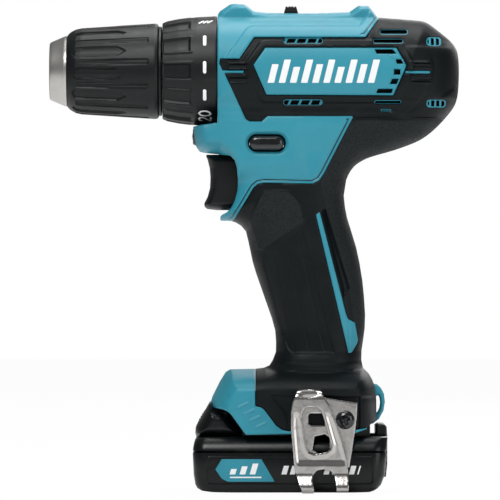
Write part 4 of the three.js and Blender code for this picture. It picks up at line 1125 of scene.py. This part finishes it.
def worn_black(at):
    """Glass-filled black nylon with a semi-gloss skin, faint rub marks and dust in its grain."""
    grain = noise(at, 4.5, 3)
    rub = step(at, noise(at, 0.18, 8, (0.5, 1, 1)), 0.56, 0.74)
    return {
        "Base Color": blend(at, rub * 0.5 + grain * 0.12, (0.0016, 0.0025, 0.0029), (0.0078, 0.0095, 0.0102)),
        "Roughness": 0.24 + grain * 0.08 + rub * 0.12,
        "Normal": bump(at, grain, 0.03, 0.5),
    }


case_black = material("case_black", worn_black, Specular_IOR_Level=0.32)
add_piece("battery_tub", points, faces, case_black, "battery", "black_plastic", ["battery_lower_case"])

FIELD = [
    (-36.6, 3.4), (-37.4, 4.4), (-37.4, 15), (-36.4, 16.2), (35.2, 16.2), (36.4, 15), (36.4, 4.4),
    (35.4, 3.4),
]
LABEL = [(-33.4, 10.4), (-30.6, 14.9), (-13.2, 14.9), (-7.4, 5.0), (-28.0, 5.0), (-30.6, 6.4)]
FIELD_Y = 32.05


def field_rim(x, z):
    """A low frame round the label field, 0.25 mm proud at its foot and 0.35 mm at its top."""
    return FIELD_Y + 0.35 - 0.1 * np.interp(z, [3, 17], [1, 0])


def label_marks(x, z):
    """On the teal label: three rising slanted bars over a thin line."""
    best = -99.0
    for k in range(3):
        lean = x + 27.2 - 4.4 * k - 0.3 * (z - 8.2)
        tall = np.minimum(z - 8.2, 10.6 + 1.2 * k - z)
        best = np.maximum(best, np.minimum(np.minimum(lean, 2.5 - lean), tall))
    return np.maximum(best, lines_depth(x, z, [[(-26.8, 6.9), (-13.4, 6.9)]], 0.3))


def side_marks(x, z):
    """Beside the label: a row of slanted white bars of two lengths, for the pack's printing."""
    lean = x - 0.3 * (z - 8)
    inside_bar = 1.15 - np.abs((lean + 5.2) % 3.7 - 1.85)
    clear = np.minimum(np.minimum(lean + 5.6, 29.4 - lean), np.minimum(z - 8.2, 12.0 - z))
    gap = np.maximum(4.0 - lean, lean - 12.8)
    return np.minimum(np.minimum(inside_bar, clear), gap)


# the map box, the marks and the height over the field
PRINTS = [((-30, 6.2, -12, 14.5), label_marks, 0.24), ((-7, 7.5, 32, 12.6), side_marks, 0.12)]
for side, name in SIDES:
    parts = relief((-38.5, 2.5, 37.5, 17.2), 0.3,
                   lambda x, z: np.minimum(depth(x, z, FIELD), 0.75 - depth(x, z, FIELD)),
                   field_rim, level(31.2), across(side), round_mm=0.25)
    add_piece(f"label_frame_{name}", *parts, case_black, "battery", "black_plastic")
    parts = relief((-34.4, 4.2, -6.6, 15.8), 0.25, within(LABEL),
                   level(FIELD_Y + 0.14), level(31.3),
                   across(side), round_mm=0.08)
    add_piece(f"battery_label_{name}", *parts, teal_plastic, "battery", "black_plastic")
    marks = [relief(box, 0.17, mark, level(FIELD_Y + up), level(31.7), across(side), round_mm=0.05)
             for box, mark, up in PRINTS]
    add_piece(f"battery_print_{name}", *joined(marks), white_print, "battery", "black_plastic")

COVER_LEVELS = [
    (18.2, -42.6, 41.6, 31.4, 5.6), (18.5, -43.3, 42.0, 31.8, 6), (19.4, -43.3, 42.1, 31.7, 6),
    (21.6, -42.9, 42.2, 30.6, 5.8), (23.4, -42.0, 42.4, 29.0, 5.4), (24.2, -41.0, 42.4, 28.2, 5),
    (24.6, -39.6, 42.2, 27.0, 5),
]
inner = [(24.6, -30, 40, 20, 4), (19.4, -30, 40, 20, 4), (18.2, -40.4, 39.6, 29.2, 4)]
cover = skin(case_rings(COVER_LEVELS + inner))
WEDGE_OUTLINE = [(-41.8, 23.6), (-42.4, 25.8), (-42.2, 28.4), (-36.2, 38.9), (-35.5, 39.3), (-34.9, 39.1),
                 (-33.9, 37.1), (-32.9, 36.8), (-30.2, 36.4), (-27.5, 34.7), (-19.9, 24.6), (-19.9, 23.6)]
BUTTON_WELL = [(-44, 28.5), (-34.5, 28.5), (-34.5, 36.9), (-44, 36.9)]
wedge_depth = within(WEDGE_OUTLINE)


def wedge_half(x, z):
    """Half the wedge's width: its edges are rounded by 5 mm."""
    return 16 + 10.4 * pillow(wedge_depth(x, z), 5.2, 2.0)


# The wedge's cheeks lie either side of the button's well, and a plate behind the button joins them.
cheeks = [relief((-43.5, 22.8, -19, 40.4), 0.4, wedge_depth, wedge_half, level(14.5),
                 across(side), crowd=(wedge_depth, 2.0), round_mm=0.3) for side in (-1, 1)]
middle = relief((-43.5, 22.8, -19, 40.4), 0.4,
                lambda x, z: np.minimum(wedge_depth(x, z), -depth(x, z, BUTTON_WELL)),
                level(14.8), None, across(1), round_mm=0.05)
TOWER = [(-22, 23.6), (-22, 34.4), (34.8, 34.4), (34.8, 23.6)]


def tower_half(x, z):
    """Half the width of the tower that enters the base, with a rail groove 2.6 mm deep along each side."""
    return 21.4 - 2.6 * (np.abs(z - 30.2) < 1.6) * ramp(x, -20, -18)


def catch_half(x, z):
    """Half the rear catch's width: its edges are rounded, and finger ribs 2.4 mm apart cross its foot."""
    return 12.4 + 1.0 * pillow(depth(x, z, CATCH), 0.9, 2.0) + 0.35 * np.cos(2 * pi * z / 2.4) * (z < 20)


tower = relief((-23, 23, 36, 35), 0.5, within(TOWER), tower_half, None, across(1), round_mm=0.5)
CATCH = [
    (37.4, 23), (37.4, 29), (38.6, 29.7), (41.2, 29.7), (42.3, 28.6), (42.6, 24), (42.6, 12),
    (42.0, 6.4), (41, 6.2), (40.6, 12), (40.6, 23),
]
catch = relief((36.8, 5.6, 43.4, 30.4), 0.3, within(CATCH), catch_half, None, across(1), round_mm=0.05)
points, faces = joined([cover, *cheeks, middle, tower, catch])
add_piece("battery_cover", points, faces, case_black, "battery", "black_plastic", ["battery_upper_case"])

# ---------------------------------------------------------------- release button
# A glossy black key in the wedge's slope, pushed in to free the pack, with five finger ribs.

def button_place(a, b, height):
    """A map up the button's slope: a runs across the tool, b up the slope, and height stands off it."""
    run = np.array([3.7, 6.5]) / np.hypot(3.7, 6.5)
    return np.stack([-41.9 + b * run[0] - height * run[1], a, 29.5 + b * run[1] + height * run[0]], 1)


def button_face(a, b):
    ribs = 0.45 * np.maximum(np.cos(2 * pi * (b - 3.7) / 1.35), 0) * ramp(8.5 - np.abs(a), 0, 1.5)
    return -0.25 + ribs * ramp(3.1 - np.abs(b - 3.7), 0, 0.8)


points, faces = relief((-14.5, -0.5, 14.5, 8), 0.25,
                       lambda a, b: np.minimum(13.8 - np.abs(a), np.minimum(b - 0.1, 7.3 - b)),
                       button_face, level(-1.7), button_place, round_mm=0.5)
add_piece("release_button", points, faces, gloss, "battery_button", "gloss_black", ["battery_button"])

# ---------------------------------------------------------------- belt clip
# One strip of chromed spring steel 1.1 mm thick: a front leg with a long eye and two turned-out feet is
# folded over the top to a wider rear leg, which a pan-head screw holds against the base's left side.
CLIP_FOLD = 4.25  # middle radius of the fold
CLIP_REAR_Y = 33.15
FOLD_Z = 41.25
FOLD_END = FOLD_Z + pi * CLIP_FOLD
FRONT_LEG = [
    (-0.3, 36), (-0.3, 29), (0.4, 20), (1.1, 12), (3.2, 4.5), (4.3, 2.0), (4.6, 0.3), (9.6, 0.3),
    (9.8, 2), (9.1, 6), (9.6, 8.6), (11.2, 10.3), (14, 10.8), (16.8, 10.3), (18.4, 8.6), (19.2, 6),
    (19.7, 1.2), (24.9, 1.2), (25, 4), (24.5, 15), (22.5, 22.6), (19.6, 31.4), (16.6, 38.6),
    (14.2, 42.4), (12.6, 46), (12.6, 50), (2.6, 50), (2.6, 46), (1.6, 42.6), (0.4, 40.4),
]
FRONT_EYE = [
    (4.6, 33.4), (4.8, 36), (6.2, 37.8), (10.8, 38.1), (13.0, 36.4), (14.4, 32), (17.3, 21.6),
    (17.0, 19.6), (15.2, 18.2), (9.6, 17.4), (7.6, 18.2), (6.6, 20.2), (5.6, 26),
]
REAR_LEG = [
    (2.6, 46), (12.6, 46), (13.2, FOLD_END - 1.0), (28.9, FOLD_END + 1.6), (28.7, FOLD_END + 7),
    (28.0, FOLD_END + 13.6), (26.6, FOLD_END + 23), (25.4, FOLD_END + 30), (8.6, FOLD_END + 30),
    (4.2, FOLD_END + 22), (2.6, FOLD_END + 10),
]
FOLD_EYE = [
    (3.8, FOLD_Z + 1.4), (3.4, FOLD_Z + 2.4), (5.0, FOLD_Z + 4.4), (7.4, FOLD_Z + 5.0),
    (9.8, FOLD_Z + 4.4), (11.4, FOLD_Z + 2.4), (10.8, FOLD_Z + 1.6), (7.4, FOLD_Z + 0.8),
]
REAR_HOLES = [
    [(7.4, FOLD_END + 7.2), (7.4, FOLD_END + 10.4), (8.6, FOLD_END + 11.4), (14.6, FOLD_END + 11.4),
     (14.6, FOLD_END + 6.4), (8.4, FOLD_END + 6.2)],
    [(10.2, FOLD_END + 16.4), (9.4, FOLD_END + 22), (12.6, FOLD_END + 24), (16.6, FOLD_END + 22.6),
     (16.8, FOLD_END + 17), (14.6, FOLD_END + 15.4)],
]


def clip_depth(x, s):
    """Depth inside the unfolded strip. s runs up the front leg, round the fold and down the rear leg."""
    strip = np.maximum(depth(x, s, FRONT_LEG), depth(x, s, REAR_LEG))
    holes = np.maximum.reduce([depth(x, s, hole) for hole in (FRONT_EYE, FOLD_EYE, *REAR_HOLES)])
    return np.minimum(strip, -holes)


def clip_place(x, s, height):
    """The unfolded strip in space: flat legs, a half circle between them, and feet turned out at 23 deg."""
    turn = np.clip((s - FOLD_Z) / CLIP_FOLD, 0, pi)
    z = np.where(s > FOLD_END, FOLD_Z - (s - FOLD_END), np.minimum(s, FOLD_Z)) + CLIP_FOLD * np.sin(turn)
    y = CLIP_REAR_Y + CLIP_FOLD * (1 + np.cos(turn))
    lean = np.where(s < FOLD_Z, 2.5 * ramp(9.4 - s, 0.4, 6.6) - 1.6 * ramp(2.4 - s, 0, 2.2), 0)
    dish = -0.5 * ramp(clip_depth(x, s), 0.9, 2.4) * ramp(s, 12, 15) * ramp(36 - s, 0, 3)
    push = height + dish
    return np.stack([x, -(y + lean + push * np.cos(turn)), z + push * np.sin(turn)], 1)


def chrome(at):
    """Nickel-chrome plate over pressed spring steel: long shallow waves, dark stains and fine scratches."""
    waves = noise(at, 0.22, 3, (1, 1, 0.5))
    scratch = noise(at, 2.2, 6, (1, 1, 0.06))
    stain = step(at, noise(at, 0.35, 5), 0.5, 0.8)
    return {
        "Base Color": blend(at, stain, (0.50, 0.485, 0.47), (0.37, 0.355, 0.34)),
        "Roughness": 0.15 + scratch * 0.10 + stain * 0.07,
        "Normal": bump(at, waves + scratch * 0.02, 0.30, 0.35),
    }


clip_steel = material("clip_steel", chrome, Metallic=1.0)
points, faces = relief((-1.2, -0.4, 30, FOLD_END + 31), 0.24, clip_depth, level(0.55), None,
                       clip_place, crowd=(clip_depth, 0.8), round_mm=0.3)
add_piece("steel_belt_clip", points, faces, clip_steel, "housing", "clip_steel", ["belt_clip"])

# ---------------------------------------------------------------- clip screw
# A black pan-head screw with a cross recess, through the clip's rear leg into the housing.
SCREW_AT = (23.6, 32.2)
HEAD_RADIUS = 4.15


def head_depth(x, z):
    return HEAD_RADIUS - np.hypot(x - SCREW_AT[0], z - SCREW_AT[1])


def head_dome(x, z):
    """A dome 2.4 mm high, with a cross recess 1.5 mm deep turned by 20 degrees."""
    dx, dz = x - SCREW_AT[0], z - SCREW_AT[1]
    along, over = dx * 0.94 + dz * 0.342, dz * 0.94 - dx * 0.342
    arm = np.minimum(0.55 - np.minimum(np.abs(along), np.abs(over)), 2.1 - np.hypot(dx, dz))
    dome = 2.35 * pillow(head_depth(x, z), 3.6, 2.0)
    return 33.95 + dome - 1.5 * ramp(arm, -0.12, 0.18)


points, faces = relief((19, 27.5, 28.2, 36.8), 0.16, head_depth, head_dome,
                       level(33.8), across(-1), crowd=(head_depth, 0.8), round_mm=0.05)
shank = turned([(-33.85, 2.0), (-27.0, 2.0), (-26.2, 1.4)], 1, (SCREW_AT[0], 0, SCREW_AT[1]), 24)
points, faces = joined([(points, faces), shank])
add_piece("clip_pan_screw", points, faces, gloss, "housing", "gloss_black", ["clip_screw"])

# ---------------------------------------------------------------- pieces kept from the CAD frame
# The works inside and the screws have their true shapes already, and take finishes here: ground and
# blued steel, spring wire, lacquered copper, circuit board, cell wrap and insulated wire.


def ground_steel(low, high, rough):
    """Ground or turned steel between two shades, with marks round the X axis."""
    def recipe(at):
        marks = noise(at, 2.5, 4, (1, 0.05, 0.05))
        return {
            "Base Color": blend(at, marks, low, high),
            "Roughness": rough + marks * 0.18,
            "Normal": bump(at, marks, 0.02, 0.5),
        }
    return recipe


def mottled(low, high, rough, depth_mm, per_mm):
    """A moulded or coated surface between two shades, with a fine orange-peel skin."""
    def recipe(at):
        grain = noise(at, per_mm, 4)
        return {
            "Base Color": blend(at, grain, low, high),
            "Roughness": rough + grain * 0.14,
            "Normal": bump(at, grain, depth_mm, 0.5),
        }
    return recipe


finishes = {
    "teal_plastic": teal_plastic, "soft_grip": soft_grip, "black_plastic": black_plastic,
    "gloss_black": gloss, "bright_steel": bright_steel, "clip_steel": clip_steel, "lens": lens_paint,
}
INNER_FINISHES = {
    "dark_steel": (ground_steel((0.09, 0.095, 0.10), (0.16, 0.165, 0.17), 0.3), {"Metallic": 1.0}),
    "spring_steel": (ground_steel((0.22, 0.22, 0.22), (0.36, 0.36, 0.35), 0.2), {"Metallic": 1.0}),
    "winding": (mottled((0.42, 0.15, 0.055), (0.62, 0.26, 0.10), 0.28, 0.2, 1.6), {"Metallic": 0.9}),
    "board": (mottled((0.010, 0.075, 0.035), (0.022, 0.125, 0.060), 0.35, 0.03, 1.2), {"Coat_Weight": 0.4}),
    "cell": (mottled((0.022, 0.24, 0.085), (0.035, 0.32, 0.12), 0.3, 0.02, 0.5), {"Coat_Weight": 0.5}),
    "red_wire": (mottled((0.38, 0.012, 0.010), (0.50, 0.025, 0.020), 0.4, 0.02, 2.0), {}),
    "black_wire": (mottled((0.008, 0.008, 0.009), (0.018, 0.018, 0.02), 0.4, 0.02, 2.0), {}),
}
for name, (recipe, constants) in INNER_FINISHES.items():
    finishes[name] = material(name, recipe, **constants)
for part in frame["record"]["subparts"]:
    node = frame["nodes"].get(part["node"])
    if node is not None:
        for place in node.material_slots:
            place.material = finishes[part["material_slot"]]
